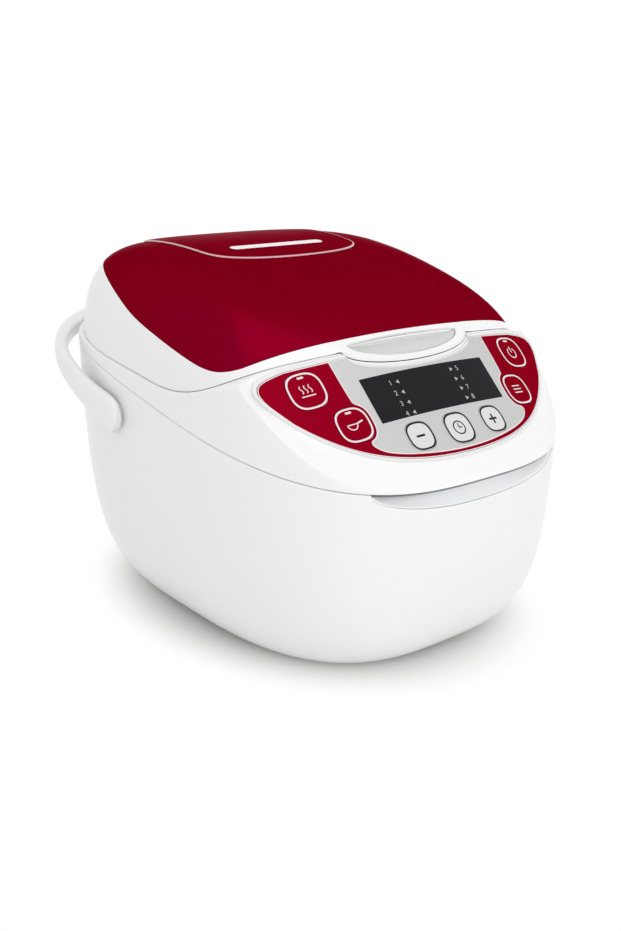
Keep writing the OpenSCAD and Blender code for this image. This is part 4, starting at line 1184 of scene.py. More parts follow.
    def collar_column(self, ray: Ray) -> list[Point]:
        """Points of the collar on one line: up its outside, over the deck, down to the pot ledge and back under it.

        Args:
            ray: which line.

        Returns:
            The points in order.
        """
        form, rim, way = self.form, ray.rim, ray.way
        bottom = form.seam(ray.plan[1]) + form.seam_gap
        rim_z = min(form.parting(ray.edge[1]), form.deck(*rim))
        corner = max(bottom + 1.4, self.top(ray, *ray.plan))
        r = min(self.corner_r, 0.75 * (corner - bottom), 0.7 * math.dist(ray.plan, rim))
        column = [(*form.plan(ray.c, ray.s, form.wall), bottom), (*form.plan(ray.c, ray.s, 0.4), bottom),
                  (*ray.plan, bottom + 0.35), (*ray.plan, mix(bottom, corner - r, 0.6))]
        for k in range(self.corner_steps + 1):
            t = math.pi / 2 * k / self.corner_steps
            back = 1 - math.cos(t)
            x, y = stepped(ray.plan, way, -r * back)
            column.append((x, y, mix(corner, self.top(ray, x, y), back) - r * (1 - math.sin(t))))
        start = stepped(ray.plan, way, -r)
        for k in range(1, self.deck_steps + 1):
            x, y = between(start, rim, k / self.deck_steps)
            z = self.top(ray, x, y)
            if k > self.deck_steps - 2:
                z = min(z, rim_z)
            if ray.front:
                deep = self.panel_depth((x, y, z))
                drop = self.sink * ease((deep - self.sink_from) / self.sink_run) * SLOPE
                y, z = y + drop, z - drop
            column.append((x, y, z))
        column += [(*stepped(rim, way, -d), rim_z - drop)
                   for d, drop in ((0.3, 0.05), (1.5, 0.15), (3, 0.35), (3.3, 1.2))]
        far = math.hypot(rim[0], rim[1] - form.lid_cy)
        hole = (rim[0] / far * form.hole_r, form.lid_cy + (rim[1] - form.lid_cy) / far * form.hole_r)
        wall = stepped(rim, way, -self.well_in)
        column += [(*wall, form.ledge_z), (*between(wall, hole, 0.1), form.ledge_z), (*hole, form.ledge_z),
                   (*hole, form.ledge_z - form.wall), (*stepped(rim, way, -4.6), form.ledge_z - form.wall),
                   (*stepped(rim, way, -1.2), rim_z - 12)]
        return column

    def build_collar(self) -> None:
        """Lofts the collar."""
        mould = Mould()
        mould.loft(list(zip(*(self.collar_column(ray) for ray in self.rays))), wrap=True)
        self.keep(mould, "collar_ring", "base", Look.SHELL, ["top_collar"], "white_shell", 40)

    def build(self) -> None:
        """Makes shell, cup and collar."""
        self.build_shell()
        self.build_cup()
        self.build_collar()


@dataclass(frozen=True)
class Span:
    """The lid rim's band on one line: its borders, where it starts, and the dish opening's lower and upper border."""

    rim: Flat
    seat: Flat
    start: float
    low: float
    high: float

    def at(self, f: float) -> Flat:
        """Plan point a share f of the way from rim to seat."""
        return between(self.rim, self.seat, f)


@dataclass
class Lid(SubAssembly):
    """White lid rim with the dish opening, red cover, steam cap and their fine lines."""

    rays: list[Ray] = field(default_factory=list)
    dish_a: float = 49
    dish_v: float = 5.4
    dish_low: float = 15
    dish_high: float = 2.6
    dish_mid: float = 2.6
    dish_slope: float = 1.6
    play: float = 0.4
    lens_deep: float = 4.2
    split: float = 0.47
    foot_share: float = 0.974
    rim_gap: float = 0.35
    bulge_in: float = 0.3
    seat_out: float = 0.12
    flat_x: float = 66
    flat_run: float = 18
    back_in: float = 4.0
    back_x: float = 62
    back_run: float = 8
    room_x: float = 52
    room_y: float = -80
    notch_x: float = 45.2
    notch_z: float = 212.8
    cover_t: float = 2.4
    cap_t: float = 5
    slot_y: float = 27.7
    slot_x: float = 38.0
    count: int = 288

    @property
    def lens_a(self) -> float:
        """Half width of the dish opening."""
        return self.dish_a + self.play

    @staticmethod
    def grown(p: Flat, cy: float, more: float) -> Flat:
        """Moves a point outwards from (0, cy)."""
        far = math.hypot(p[0], p[1] - cy)
        return p[0] * (1 + more / far), cy + (p[1] - cy) * (1 + more / far)

    def under(self, p: Flat, inward: float, drop: float) -> Point:
        """Point below the dome at p, moved toward the lid's middle."""
        x, y = self.grown(p, self.form.lid_cy, -inward)
        return x, y, self.form.dome(*p) - drop

    def ledge_share(self, ray: Ray) -> float:
        """Inner border of the ledge under the cover, as a share of the cover's edge."""
        f = (ray.edge[1] - self.form.lid_cy) / self.form.lid_br
        return mix(0.86, 0.91, f ** 4) if f > 0 else mix(0.86, 0.74, ease(-1.6 * f))

    def lens_low(self, x: float) -> float:
        """Lower border of the dish opening in plan."""
        v = self.dish_v - (self.dish_low + self.play) * math.sqrt(max(0.0, 1 - (x / self.lens_a) ** 2))
        return self.form.button_y + math.cos(self.form.button_tilt) * v

    def lens_high(self, x: float) -> float:
        """Upper border of the dish opening in plan."""
        v = self.dish_v + (self.dish_high + self.play) * max(0.0, 1 - (x / self.lens_a) ** 2)
        return self.form.button_y + math.cos(self.form.button_tilt) * v

    def band_z(self, x: float, y: float) -> float:
        """Height of the rim's band, flat round the dish."""
        z = self.form.dome(x, y)
        return mix(z, self.form.surround(y), ease((self.flat_x - abs(x)) / self.flat_run)) if y < FRONT_Y else z

    def crossing(self, rim: Flat, seat: Flat, line: Callable[[float], float]) -> float:
        """Finds where a border is crossed.

        Args:
            rim: start of the way.
            seat: end of the way.
            line: the border, as y at x.

        Returns:
            The share of the way from rim to seat.
        """
        low, high = 0.0, 1.0
        for _ in range(40):
            f = (low + high) / 2
            x, y = between(rim, seat, f)
            low, high = (f, high) if y < line(x) else (low, f)
        return (low + high) / 2

    def span(self, ray: Ray) -> Span:
        """Works out the rim's band on one line.

        Args:
            ray: which line.

        Returns:
            The band, cut back at the hinge and parted at the dish.
        """
        seat = self.grown(ray.seat, self.form.lid_cy, self.seat_out)
        rim = (ray.rim[0], ray.rim[1] + self.bulge_in) if ray.bulged else ray.rim
        start, low, high = 0.0, self.split, self.split
        if ray.edge[1] > 100 and abs(ray.edge[0]) <= self.notch_x:
            start = next(f / 200 for f in range(1, 200) if self.band_z(*between(rim, seat, f / 200)) >= self.notch_z)
            low = high = start + (1 - start) * self.split
        elif ray.front:
            low, high = self.crossing(rim, seat, self.lens_low), self.crossing(rim, seat, self.lens_high)
            cross = abs(mix(rim[0], seat[0], (low + high) / 2))
            if cross >= self.lens_a - 0.05:
                low = high = mix((low + high) / 2, self.split, ease((cross - self.lens_a) / 30))
        return Span(rim, seat, start, low, high)

    def foot(self, ray: Ray, span: Span) -> tuple[Point, Point, Point]:
        """Underside of the rim on one line.

        Args:
            ray: which line.
            span: the rim's band there.

        Returns:
            Its outer edge, the inner border of its lip and a point further in.
        """
        form = self.form
        x, y = span.at(span.start)
        z = self.band_z(x, y)
        if ray.bulged:
            line = min(form.parting(y), form.deck(x, y)) + self.rim_gap
            z = min(form.surround(y) - 0.9, max(form.surround(y) - 4, line))
        elif span.start == 0:
            z -= self.rim_gap
        ux, uy = between(form.middle, ray.edge, self.foot_share)
        ux = math.copysign(min(abs(ux), abs(x)), x)
        uy = min(uy, y) if y > form.lid_cy else uy
        return (x, y, z), (*between((x, y), (ux, uy), 0.35), z), (ux, uy, z)

    def seat_ring(self, share: float, inward: float, drop: float) -> list[Point]:
        """Ring of the ledge under the cover.

        Args:
            share: share of the cover's edge, 0 for the ledge's inner border.
            inward: how far it is moved toward the lid's middle.
            drop: how far it lies under the dome.

        Returns:
            The ring, further in behind the dish.
        """
        ring = []
        for ray in self.rays:
            behind = ease((self.back_x - abs(ray.edge[0])) / self.back_run) if ray.front and drop > 1 else 0.0
            p = between(self.form.middle, ray.seat, share or self.ledge_share(ray))
            ring.append(self.under(p, inward + self.back_in * behind, drop))
        return ring

    def build_rim(self) -> None:
        """Lofts the white rim in two bands that leave the dish opening between them, open under the dish."""
        mould, tilt = Mould(), self.form.button_tilt
        spans = [self.span(ray) for ray in self.rays]

        def band(place: Callable[[Span], float]) -> list[Point]:
            """Ring of the band at a share of each line."""
            flat = [span.at(place(span)) for span in spans]
            return [(x, y, self.band_z(x, y)) for x, y in flat]

        bottom, lip, under = zip(*(self.foot(ray, span) for ray, span in zip(self.rays, spans)))
        lower = (0.0, 0.006, 0.02, 0.05, 0.1, 0.17, 0.26, 0.37, 0.5, 0.65, 0.82, 1.0)
        upper = (0.0, 0.15, 0.35, 0.55, 0.75, 0.9, 0.97)
        ledge = ((1.0, -self.seat_out, 0.35), (1.0, -self.seat_out, 3.6), (1.0, 2.5, 3.6), (0.94, 2.5, 3.6),
                 (0.0, 2.5, 3.3), (0.0, 2.5, 5.4), (0.94, 3.8, 5.4), (1.0, 4.0, 5.4))
        first, _ = mould.loft([bottom] + [band(lambda s, g=g: mix(s.start, s.low, g)) for g in lower])
        _, last = mould.loft([band(lambda s, g=g: mix(s.high, 1.0, g)) for g in upper]
                             + [self.seat_ring(*step) for step in ledge])
        inside = mould.grow(last, under)
        bmesh.ops.bridge_loops(mould.bm, edges=first + mould.grow(inside, lip))
        bmesh.ops.remove_doubles(mould.bm, verts=mould.bm.verts, dist=0.004)
        lens = bmesh.ops.extrude_edge_only(mould.bm, edges=[e for e in mould.bm.edges if e.is_boundary])["geom"]
        bmesh.ops.translate(mould.bm, vec=(0.0, self.lens_deep * math.sin(tilt), -self.lens_deep * math.cos(tilt)),
                            verts=mould.verts_in(lens))
        room = {f for e in inside if e.is_valid for f in e.link_faces
                if all(abs(v.co.x) < self.room_x and v.co.y < self.room_y for v in f.verts)}
        bmesh.ops.delete(mould.bm, geom=list(room), context="FACES")
        self.keep(mould, "lid_rim", "lid", Look.LID_WHITE, ["lid_shell", "button_surround"], "lid_white", 42)

    def fan(self) -> list[tuple[Flat, Flat, Flat]]:
        """Lines from the cap's middle outwards.

        Returns:
            For each line its way, its point of the cap's outline and its point of the cover's outline.
        """
        form, out = self.form, []
        for t in circle_of(self.count):
            way = (math.cos(t), math.sin(t))
            out.append((way, form.reach(form.cap_middle, way, form.cap_share),
                        form.reach(form.cap_middle, way, form.seat_share, 40)))
        return out

    def over(self, flat: Sequence[Flat], lift: float) -> list[Point]:
        """Ring of points at a height over the dome."""
        return [(x, y, self.form.dome(x, y) + lift) for x, y in flat]

    def build_cover(self) -> None:
        """Lofts the red cover from its outer edge to the cap's opening."""
        mould, fan, thick = Mould(), self.fan(), self.cover_t

        def ring(f: float, drop: float = 0, grow: float = 0.0) -> list[Point]:
            """Ring a share f of the way from cover edge to cap opening."""
            return self.over([between(edge, stepped(cap, way, 0.45 + grow), f) for way, cap, edge in fan], -drop)

        top = (0.012, 0.02, 0.03, 0.042, 0.056, 0.073, 0.093, 0.117, 0.145, 0.18, 0.22, 0.265, 0.315, 0.37, 0.43, 0.5,
               0.57, 0.64, 0.71, 0.78, 0.84, 0.9, 0.95, 0.985)
        rings = [ring(0, thick), ring(0, 0.7), ring(0.002, 0.25), ring(0.006, 0.06)] + [ring(f) for f in top]
        rings += [ring(1, 0, 0.5), ring(1, 0.12, 0.15), ring(1, 0.45), ring(1, thick)]
        rings += [ring(f, thick) for f in (0.8, 0.55, 0.3, 0.12, 0.04)]
        mould.loft(rings, wrap=True)
        self.keep(mould, "red_cover", "lid", Look.LID_RED, ["lid_cover"], "lid_red", 38)

    def build_cap(self) -> None:
        """Lofts the steam cap and a pale pink ring along its edge, a painted highlight where light would catch the
        cap's rounded edge.
        """
        middle, fan, thick = self.form.cap_middle, self.fan(), self.cap_t

        def ring(k: float, lift: float = 1.0) -> list[Point]:
            """Ring of the cap at a share of its outline."""
            return self.over([between(middle, cap, k) for _, cap, _ in fan], lift)

        mould = Mould()
        edge = ((0.5, -thick), (0.97, -thick), (0.985, -4.6), (0.996, -1), (1, -0.2), (0.999, 0.35), (0.995, 0.72),
                (0.988, 0.92), (0.978, 1.0))
        face = (0.955, 0.92, 0.87, 0.81, 0.74, 0.66, 0.57, 0.48, 0.38, 0.28, 0.18, 0.08)
        (low,), (high,) = self.over([middle], -thick), self.over([middle], 1)
        mould.loft([ring(*step) for step in edge] + [ring(k) for k in face], low=low, high=high)
        self.keep(mould, "vent_cap", "steam_cap", Look.LID_RED, ["steam_cap"], "lid_red", 38)

        # Painted highlight: a pale pink ring on the cap's edge stands in for light catching its rounded edge.
        line = Mould()
        line.loft([ring(*step) for step in ((0.9995, 0.2), (0.9975, 0.76), (0.991, 0.99), (0.982, 1.05), (0.982, 0.7),
                                            (0.993, 0.2))], wrap=True)
        self.keep(line, "vent_cap_painted_highlight", "steam_cap", Look.PAINTED_EDGE_HIGHLIGHT, (), "lid_red")

    def build_slot(self) -> None:
        """Lofts the slot's white lining on the cap."""
        mould, end = Mould(), self.slot_x
        middle = (0.0, self.form.cap_cy - self.slot_y)
        sides = [mix(-end, end, k / 32) for k in range(33)]
        turns = [math.pi * k / 12 for k in range(1, 12)]
        pill = [(x, 0.0, -1.0) for x in sides] + [(end, math.sin(t), -math.cos(t)) for t in turns]
        pill += [(-x, 0.0, 1.0) for x in sides] + [(-end, -math.sin(t), math.cos(t)) for t in turns]
        steps = ((3.9, 0.4), (3.9, 1.05), (3.65, 1.3), (1.6, 1.3), (1.3, 1.1), (0.1, 1.08))
        (low,), (high,) = self.over([middle], steps[0][1]), self.over([middle], steps[-1][1])
        mould.loft([self.over([(x + r * nx, middle[1] + r * ny) for x, nx, ny in pill], lift) for r, lift in steps],
                   low=low, high=high)
        self.keep(mould, "vent_slot_lining", "steam_cap", Look.LID_WHITE, (), "lid_white")

    def dish_top(self, x: float) -> float:
        """Upper border of the dish in its own frame."""
        return self.dish_v + self.dish_high * (1 - (x / self.dish_a) ** 2)

    def build_dish(self) -> None:
        """Lofts the concave release dish with its push boss, and lays the line along its upper border."""
        mould, frame, middle = Mould(), self.form.button_frame(), (0, self.dish_mid)
        arc = [math.pi * (1 + k / 96) for k in range(97)]
        outline = [(self.dish_a * math.cos(t), self.dish_v + self.dish_low * math.sin(t)) for t in arc]
        outline += [(x, self.dish_top(x)) for x in (self.dish_a * (1 - k / 24) for k in range(1, 48))]

        def sunk(v: float, w: float, slope: float) -> float:
            """Height w, lower toward the upper border."""
            return w - slope * ease((v + 6) / 13)

        def ring(k: float, w: float, slope: float = self.dish_slope) -> list[Point]:
            """Ring of the dish at a share of its outline."""
            return [(x, v, sunk(v, w, slope)) for x, v in (between(middle, p, k) for p in outline)]

        back, rim = -3.2, 0.972
        scoop = (0.962, 0.94, 0.91, 0.87, 0.82, 0.76, 0.69, 0.6, 0.5, 0.38, 0.25, 0.1)
        edge = ((1, -0.35), (0.994, -0.1), (0.985, 0.0), (rim, -0.1))
        rings = [ring(0.6, back, 0), ring(1, back, 0)] + [ring(*step) for step in edge]
        rings += [ring(k, -0.1 - 1.4 * (1 - (k / rim) ** 3) ** 0.7) for k in scoop]
        mould.loft(rings, low=(*middle, back), high=(*middle, sunk(self.dish_mid, -1.5, self.dish_slope)))
        boss = bmesh.ops.create_cube(mould.bm, size=1.0)["verts"]
        bmesh.ops.transform(mould.bm, matrix=Matrix.Translation((0, -5.5, -6.0)) @ Matrix.Diagonal((18, 5, 5.8, 1)),
                            verts=boss)
        mould.turn(frame)
        self.keep(mould, "release_dish", "release_button", Look.DISH, ["release_button"], "panel_silver", 40)

        line = Mould()
        line.stroke([(x, self.dish_top(x) + 0.25) for x in (46 - 92 * k / 60 for k in range(61))], 0.3, 0.0, 0.12)
        line.turn(frame)
        self.keep(line, "dish_top_line", "lid", Look.INK_WHITE, (), "lid_white")

    def build(self) -> None:
        """Makes rim, cover, cap, slot and dish."""
        self.build_rim()
        self.build_cover()
        self.build_cap()
        self.build_slot()
        self.build_dish()


class Sign(Enum):
    """Generic signs on the keys."""

    HEAT = "heat"
    PAN = "pan"
    MINUS = "minus"
    CLOCK = "clock"
    PLUS = "plus"
    BARS = "bars"
    POWER = "power"


@dataclass(frozen=True)
class KeySpec:
    """One push key: its place on the panel, radius, sign and colours."""

    body: str
    u: float
    v: float
    r: float
    sign: Sign
    red: bool
    lamp: bool


KEYS: tuple[KeySpec, ...] = (
    KeySpec("keep_warm_key", -93.0, 25.0, 12.8, Sign.HEAT, True, True),
    KeySpec("fry_key", -74.4, -5.0, 12.0, Sign.PAN, True, True),
    KeySpec("minus_key", -33.0, -23.6, 10.2, Sign.MINUS, False, False),
    KeySpec("timer_key", 0.0, -24.6, 11.4, Sign.CLOCK, False, False),
    KeySpec("plus_key", 33.0, -23.6, 10.2, Sign.PLUS, False, False),
    KeySpec("menu_key", 74.4, -5.0, 12.0, Sign.BARS, True, False),
    KeySpec("power_key", 93.0, 25.0, 12.8, Sign.POWER, True, True),
)


def arc(centre: Flat, r: float, start: float, end: float, count: int = 40) -> list[Flat]:
    """Points of an arc.

    Args:
        centre: its centre.
        r: its radius.
        start: first angle in degrees.
        end: last angle in degrees.
        count: steps along it.

    Returns:
        The points in order.
    """
    turns = [math.radians(mix(start, end, k / count)) for k in range(count + 1)]
    return [stepped(centre, (math.cos(t), math.sin(t)), r) for t in turns]


def wave(x: float) -> list[Flat]:
    """A rising wave at x."""
    return [(x + 0.7 * math.sin(k / 20 * 2 * math.pi), -1.6 + 5.6 * k / 20) for k in range(21)]


SIGNS: dict[Sign, Sequence[tuple[Sequence[Flat], float]]] = {
    Sign.HEAT: [(wave(x), 0.32) for x in (-3.2, 0.0, 3.2)] + [([(-5, -3.6), (5, -3.6)], 0.38)],
    Sign.PAN: [(arc((-1.2, 0.4), 3.6, 180, 360), 0.36), ([(-4.8, 0.4), (2.4, 0.4)], 0.36),
               ([(2.4, 0.4), (7.0, 1.6)], 0.5)],
    Sign.MINUS: [([(-3.4, 0), (3.4, 0)], 0.75)],
    Sign.CLOCK: [(arc((0, 0), 4.6, 90, 450, 72), 0.44), ([(0, -0.4), (0, 3.1)], 0.4), ([(0.4, 0), (2.4, 0)], 0.4)],
    Sign.PLUS: [([(-3.6, 0), (3.6, 0)], 0.75), ([(0, 0.76), (0, 3.6)], 0.75), ([(0, -3.6), (0, -0.76)], 0.75)],
    Sign.BARS: [([(-4.2, y), (4.2, y)], 0.42) for y in (2.6, 0.0, -2.6)],
    Sign.POWER: [(arc((0, -0.6), 4.1, 125, 415, 60), 0.42), ([(0, -0.4), (0, 4.6)], 0.42)],
}


@dataclass
class Panel(SubAssembly):
    """Key panel: pale frame, keys with their printed rings and signs, display marks and fine border lines."""

    key_n: float = 2.8
    key_low: float = -3.4
    face: float = 1.0
    film_in: float = 2.4
    film_w: float = 0.66
    line_t: float = 0.12
    mark_w: float = 0.76
    mid_v: float = -4
    half_v: float = 40
    insert_x: float = 69.0
    lamp_r: float = 0.75
    lamp_x: float = 1.6
    left_u: float = -27.5
    left_marks: tuple[float, ...] = (16.2, 8.4, 0.6, -7.0)
    right_u: float = 21.3
    right_marks: tuple[float, ...] = (17.6, 10.0, 2.5, -5.0)

    def low(self, x: float) -> float:
        """Lower border of the panel."""
        return -44 + 0.00205 * x * x + 1.45e-7 * x ** 4

    def high(self, x: float) -> float:
        """Upper border of the panel, along the lid's front edge."""
        return (self.form.front_line(x) - self.form.panel_y) * math.sqrt(2) - self.form.sag(x) - 1.8

    def drawn_in(self, p: Flat, d: float) -> Flat:
        """Moves a point of the outline inwards by d."""
        a = self.form.panel_a
        return p[0] * (a - d) / a, self.mid_v + (p[1] - self.mid_v) * (self.half_v - d) / self.half_v

    def outline(self, d: float = 0.0) -> list[Flat]:
        """Outline of the panel.

        Args:
            d: how far it is drawn in.

        Returns:
            The points, from the middle of the lower border over the right tip and back.
        """
        a = self.form.panel_a
        tip = [(114, self.low(114)), (a - 4, 17.6), (a, 25.2), (a + 1.6, 30.6), (a + 1.8, 35), (a, 38.6), (a - 3, 40.6),
               (a - 8, 42), (a - 14, 43), (104, self.high(104))]
        half = [(x, self.low(x)) for x in (2.0 * k for k in range(57))] + rounded(tip)
        half += [(x, self.high(x)) for x in (102.0 - 2 * k for k in range(52))]
        half = [self.drawn_in(p, d) for p in half]
        return half + [(-x, v) for x, v in reversed(half) if x > 0.01]

    def key_edge(self, r: float, t: float) -> Flat:
        """Point of a key's outline at an angle."""
        return r * spow(math.cos(t), 2 / self.key_n), r * spow(math.sin(t), 2 / self.key_n)

    def key_ring(self, r: float, w: float, count: int = 96) -> list[Point]:
        """Ring of a key at a height over the panel's face."""
        return [(*self.key_edge(r, t), w) for t in circle_of(count)]

    def insert_line(self) -> list[Flat]:
        """Border between red film and silver film, which runs round the menu key and its twin.

        Returns:
            The points from the top left to the top right.
        """
        a, d = self.form.panel_a, self.film_in
        x = self.insert_x * a / (a - d)
        _, top = self.drawn_in((x, self.high(x)), d)
        half: list[Flat] = [(x, -38.6 + 0.0025 * x ** 2) for x in (10.0 * k for k in range(6))]
        half += [(60, -29), (65.4, -25.8), (69, -21.6)]
        key = next(key for key in KEYS if key.sign is Sign.BARS)
        half += [stepped((key.u, key.v), self.key_edge(key.r + 2.2, math.radians(t)), 1) for t in range(255, 119, -15)]
        half += [(67.9, 9.6), (self.insert_x, top)]
        return rounded([(-x, v) for x, v in reversed(half[1:])] + half)

    def strip(self, mould: Mould, line: Sequence[Flat], half: float) -> None:
        """Lays a thin strip on the panel's face.

        Args:
            mould: where it goes.
            line: its middle line.
            half: half of its width.
        """
        left, right = ([self.form.on_panel(x, v, self.film_w) for x, v in side] for side in widths_of(line, half))
        mould.ribbon(left, right, Vector((0, -SLOPE * self.line_t, SLOPE * self.line_t)))

    def build_frame(self) -> None:
        """Lofts the pale frame round the films."""
        mould = Mould()
        steps = ((0, -1.5), (0, 0.35), (0.06, 0.7), (0.25, 0.92), (0.55, 1.0), (1.5, 1.0), (1.9, 0.95), (2.1, 0.8),
                 (2.3, 0.45), (2.3, -0.3), (30, -0.3), (30, -1.5))
        mould.loft([[self.form.on_panel(x, v, w) for x, v in self.outline(d)] for d, w in steps], wrap=True)
        self.keep(mould, "panel_frame", "base", Look.TRIM, ["panel_trim"], "trim_grey", 40)

    def build_lines(self) -> None:
        """Lays the fine pale lines along the films' borders."""
        lines, ring = Mould(), self.outline(self.film_in + 0.35)
        self.strip(lines, self.insert_line(), 0.42)
        self.strip(lines, ring + ring[:1], 0.32)
        self.keep(lines, "panel_lines", "base", Look.INK_WHITE, (), "trim_grey")

    def build_cap(self, key: KeySpec) -> None:
        """Makes a key's cap, with its collar under the panel.

        Args:
            key: which one.
        """
        cap, low, face = Mould(), self.key_low, self.face
        steps = ((0.6, 0, low), (1, 1.2, low), (1, 1.2, -1.9), (1, 0, -1.89), (1, 0, 0.55), (0.995, 0, 0.8),
                 (0.982, 0, 0.95), (0.96, 0, face), (0.7, 0, face), (0.4, 0, face))
        cap.loft([self.key_ring(key.r * k + more, w) for k, more, w in steps], low=(0, 0, low), high=(0, 0, face))
        cap.turn(self.form.key_frame(key.u, key.v))
        look, slot = (Look.PANEL_RED, "panel_red") if key.red else (Look.KEY_PALE, "panel_silver")
        self.keep(cap, key.body + "_cap", key.body, look, [key.body], slot, 40)

    def build_marks(self, key: KeySpec) -> None:
        """Prints a key's ring and sign.

        Args:
            key: which one.
        """
        marks, r, wide = Mould(), key.r - 0.2, 1.3
        rings = ((r, 0.96), (r - 0.08, 1.05), (r - wide + 0.08, 1.05), (r - wide, 0.96))
        marks.loft([self.key_ring(*step) for step in rings], wrap=True)
        for line, half in SIGNS[key.sign]:
            marks.stroke(line, half, 0.98, 0.07)
        marks.turn(self.form.key_frame(key.u, key.v))
        self.keep(marks, key.body + "_marks", key.body, Look.INK_WHITE if key.red else Look.INK_BLACK)

    def build_lamp(self, key: KeySpec) -> None:
        """Makes a key's lamp lens.

        Args:
            key: which one.
        """
        lamp, middle = Mould(), (0, key.r - 3.4)
        steps = ((1.0, 0.97), (0.95, 1.1), (0.75, 1.18), (0.4, 1.22))
        ways = [(math.cos(t), math.sin(t)) for t in circle_of(40)]
        rings = [[(*stepped((math.copysign(self.lamp_x, way[0]), middle[1]), way, k * self.lamp_r), w) for way in ways]
                 for k, w in steps]
        lamp.loft(rings, low=(*middle, steps[0][1]), high=(*middle, steps[-1][1]))
        lamp.turn(self.form.key_frame(key.u, key.v))
        self.keep(lamp, key.body + "_lamp", key.body, Look.LED)

    def mark_rows(self) -> list[tuple[float, float, int]]:
        """Places of the display's marks, with the side that each points to."""
        return [(self.left_u, v, -1) for v in self.left_marks] + [(self.right_u, v, 1) for v in self.right_marks]

    def build_triangles(self) -> None:
        """Puts plain triangles on the display."""
        marks = Mould()
        for u, v, way in self.mark_rows():
            frame = self.form.key_frame(u, v)
            corners = ((way * 1.7, 0, self.mark_w), (-way * 0.9, 1.5, self.mark_w), (-way * 0.9, -1.5, self.mark_w))
            marks.plate([tuple(frame @ Vector(p)) for p in corners], (frame.to_3x3() @ Vector((0, 0, 1))) * 0.05)
        self.keep(marks, "display_triangles", "base", Look.INK_GREY)

    def build_numbers(self) -> None:
        """Puts a number beside each triangle."""
        numbers = Mould()
        for k, (u, v, way) in enumerate(self.mark_rows()):
            curve = bpy.data.curves.new("number", "FONT")
            curve.body = str(k + 1)
            curve.size = 5.2
            curve.align_x, curve.align_y = "CENTER", "CENTER"
            curve.extrude = 0.03
            curve.resolution_u = 4
            flat = bpy.data.objects.new("number", curve)
            mesh = flat.to_mesh()
            mesh.transform(self.form.key_frame(u + way * 6.0, v) @ Matrix.Translation((0, 0, 0.79)))
            numbers.bm.from_mesh(mesh)
            flat.to_mesh_clear()
            bpy.data.objects.remove(flat)
            bpy.data.curves.remove(curve)
        bmesh.ops.remove_doubles(numbers.bm, verts=numbers.bm.verts, dist=0.002)
        self.keep(numbers, "display_numbers", "base", Look.INK_GREY)

    def build(self) -> None:
        """Makes frame, lines, keys and display marks."""
        self.build_frame()
        self.build_lines()
        for key in KEYS:
            self.build_cap(key)
            self.build_marks(key)
            if key.lamp:
                self.build_lamp(key)
        self.build_triangles()
        self.build_numbers()


@dataclass
class Handle(SubAssembly):
    """Bail handle with its rounded ends and pivot stubs."""

    pivot_y: float = 41.0
    pivot_z: float = 150.0
    rest: float = math.radians(16)
    half: float = 143.4
    reach: float = 157.0
    bend: float = 2 / 2.9
    hub: float = 13.0
    hub_run: float = 30
    thin: float = 3.8
    around: int = 44
    end_steps: int = 14
    stub_r: float = 7.0
    stub_l: float = 14.0
    stub_in: float = 9.8

    def path(self, step: float = 4.5) -> list[tuple[Flat, float]]:
        """Centre line from one pivot to the other.

        Args:
            step: distance between its points.

        Returns:
            Each point with the bail's angle there.
        """
        turns = [math.pi * k / 3000 for k in range(3001)]
        fine = [((self.half * spow(math.cos(t), self.bend), self.reach * abs(math.sin(t)) ** self.bend), t)
                for t in turns]
        out, left = [fine[0]], 0.0
        for (p, _), (q, t) in zip(fine, fine[1:]):
            left += math.dist(p, q)
            if left >= step:
                out.append((q, t))
                left = 0.0
        if math.dist(out[-1][0], fine[-1][0]) < step / 2:
            out.pop()
        return out + [fine[-1]]

    def section(self, p: Flat, way: Flat, a: float, b: float) -> list[Point]:
        """Rounded section of the bail.

        Args:
            p: its middle.
            way: direction of the centre line there.
            a: half of its width.
            b: half of its height.

        Returns:
            The ring.
        """
        n = (way[1], -way[0])
        return [(*stepped(p, n, spow(math.cos(t), 0.66) * a), -spow(math.sin(t), 0.66) * b)
                for t in circle_of(self.around)]

    def end(self, side: int) -> list[list[Point]]:
        """Sections of the round end past one pivot.

        Args:
            side: 1 on the right, -1 on the left.

        Returns:
            The rings from its tip to the pivot.
        """
        rings = []
        for k in range(self.end_steps):
            y = -self.hub * math.cos(math.pi / 2 * k / self.end_steps) * 0.998
            b = math.sqrt(self.hub ** 2 - y * y)
            a = self.thin * min(1.0, 0.55 + 0.45 * (b / self.hub))
            rings.append(self.section((side * self.half, y), (0.0, side), a, b))
        return rings

    def middle(self) -> list[list[Point]]:
        """Sections along the centre line, taller near the pivots and wider in the grip.

        Returns:
            The rings from one pivot to the other.
        """
        path, rings = self.path(), []
        for k, (p, t) in enumerate(path):
            a, c = path[max(0, k - 1)][0], path[min(len(path) - 1, k + 1)][0]
            far = math.dist(a, c)
            way = ((c[0] - a[0]) / far, (c[1] - a[1]) / far)
            wide = mix(self.thin, 7.5, math.sin(t) ** 2)
            tall = mix(11.0, 6.5, min(1.0, 1.6 * math.sin(t)))
            tall = mix(tall, self.hub, 1 - ease(p[1] / self.hub_run))
            rings.append(self.section(p, way, wide, tall))
        return rings

    def build(self) -> None:
        """Sweeps the bail, rounds its ends past the pivots and adds the stubs."""
        mould = Mould()
        mould.loft(self.end(1) + self.middle() + self.end(-1)[::-1],
                   low=(self.half, -self.hub, 0), high=(-self.half, -self.hub, 0))
        for side in (1, -1):
            stub = bmesh.ops.create_cone(mould.bm, cap_ends=True, segments=48, radius1=self.stub_r, radius2=self.stub_r,
                                         depth=self.stub_l)["verts"]
            place = Matrix.Translation((side * (self.half - self.stub_in), 0, 0)) @ Matrix.Rotation(math.pi / 2, 4, "Y")
            bmesh.ops.transform(mould.bm, matrix=place, verts=stub)
        mould.turn(Matrix.Translation((0, self.pivot_y, self.pivot_z)) @ Matrix.Rotation(self.rest, 4, "X"))
        self.keep(mould, "bail", "handle", Look.SHELL, ["handle"], "white_shell", 55)


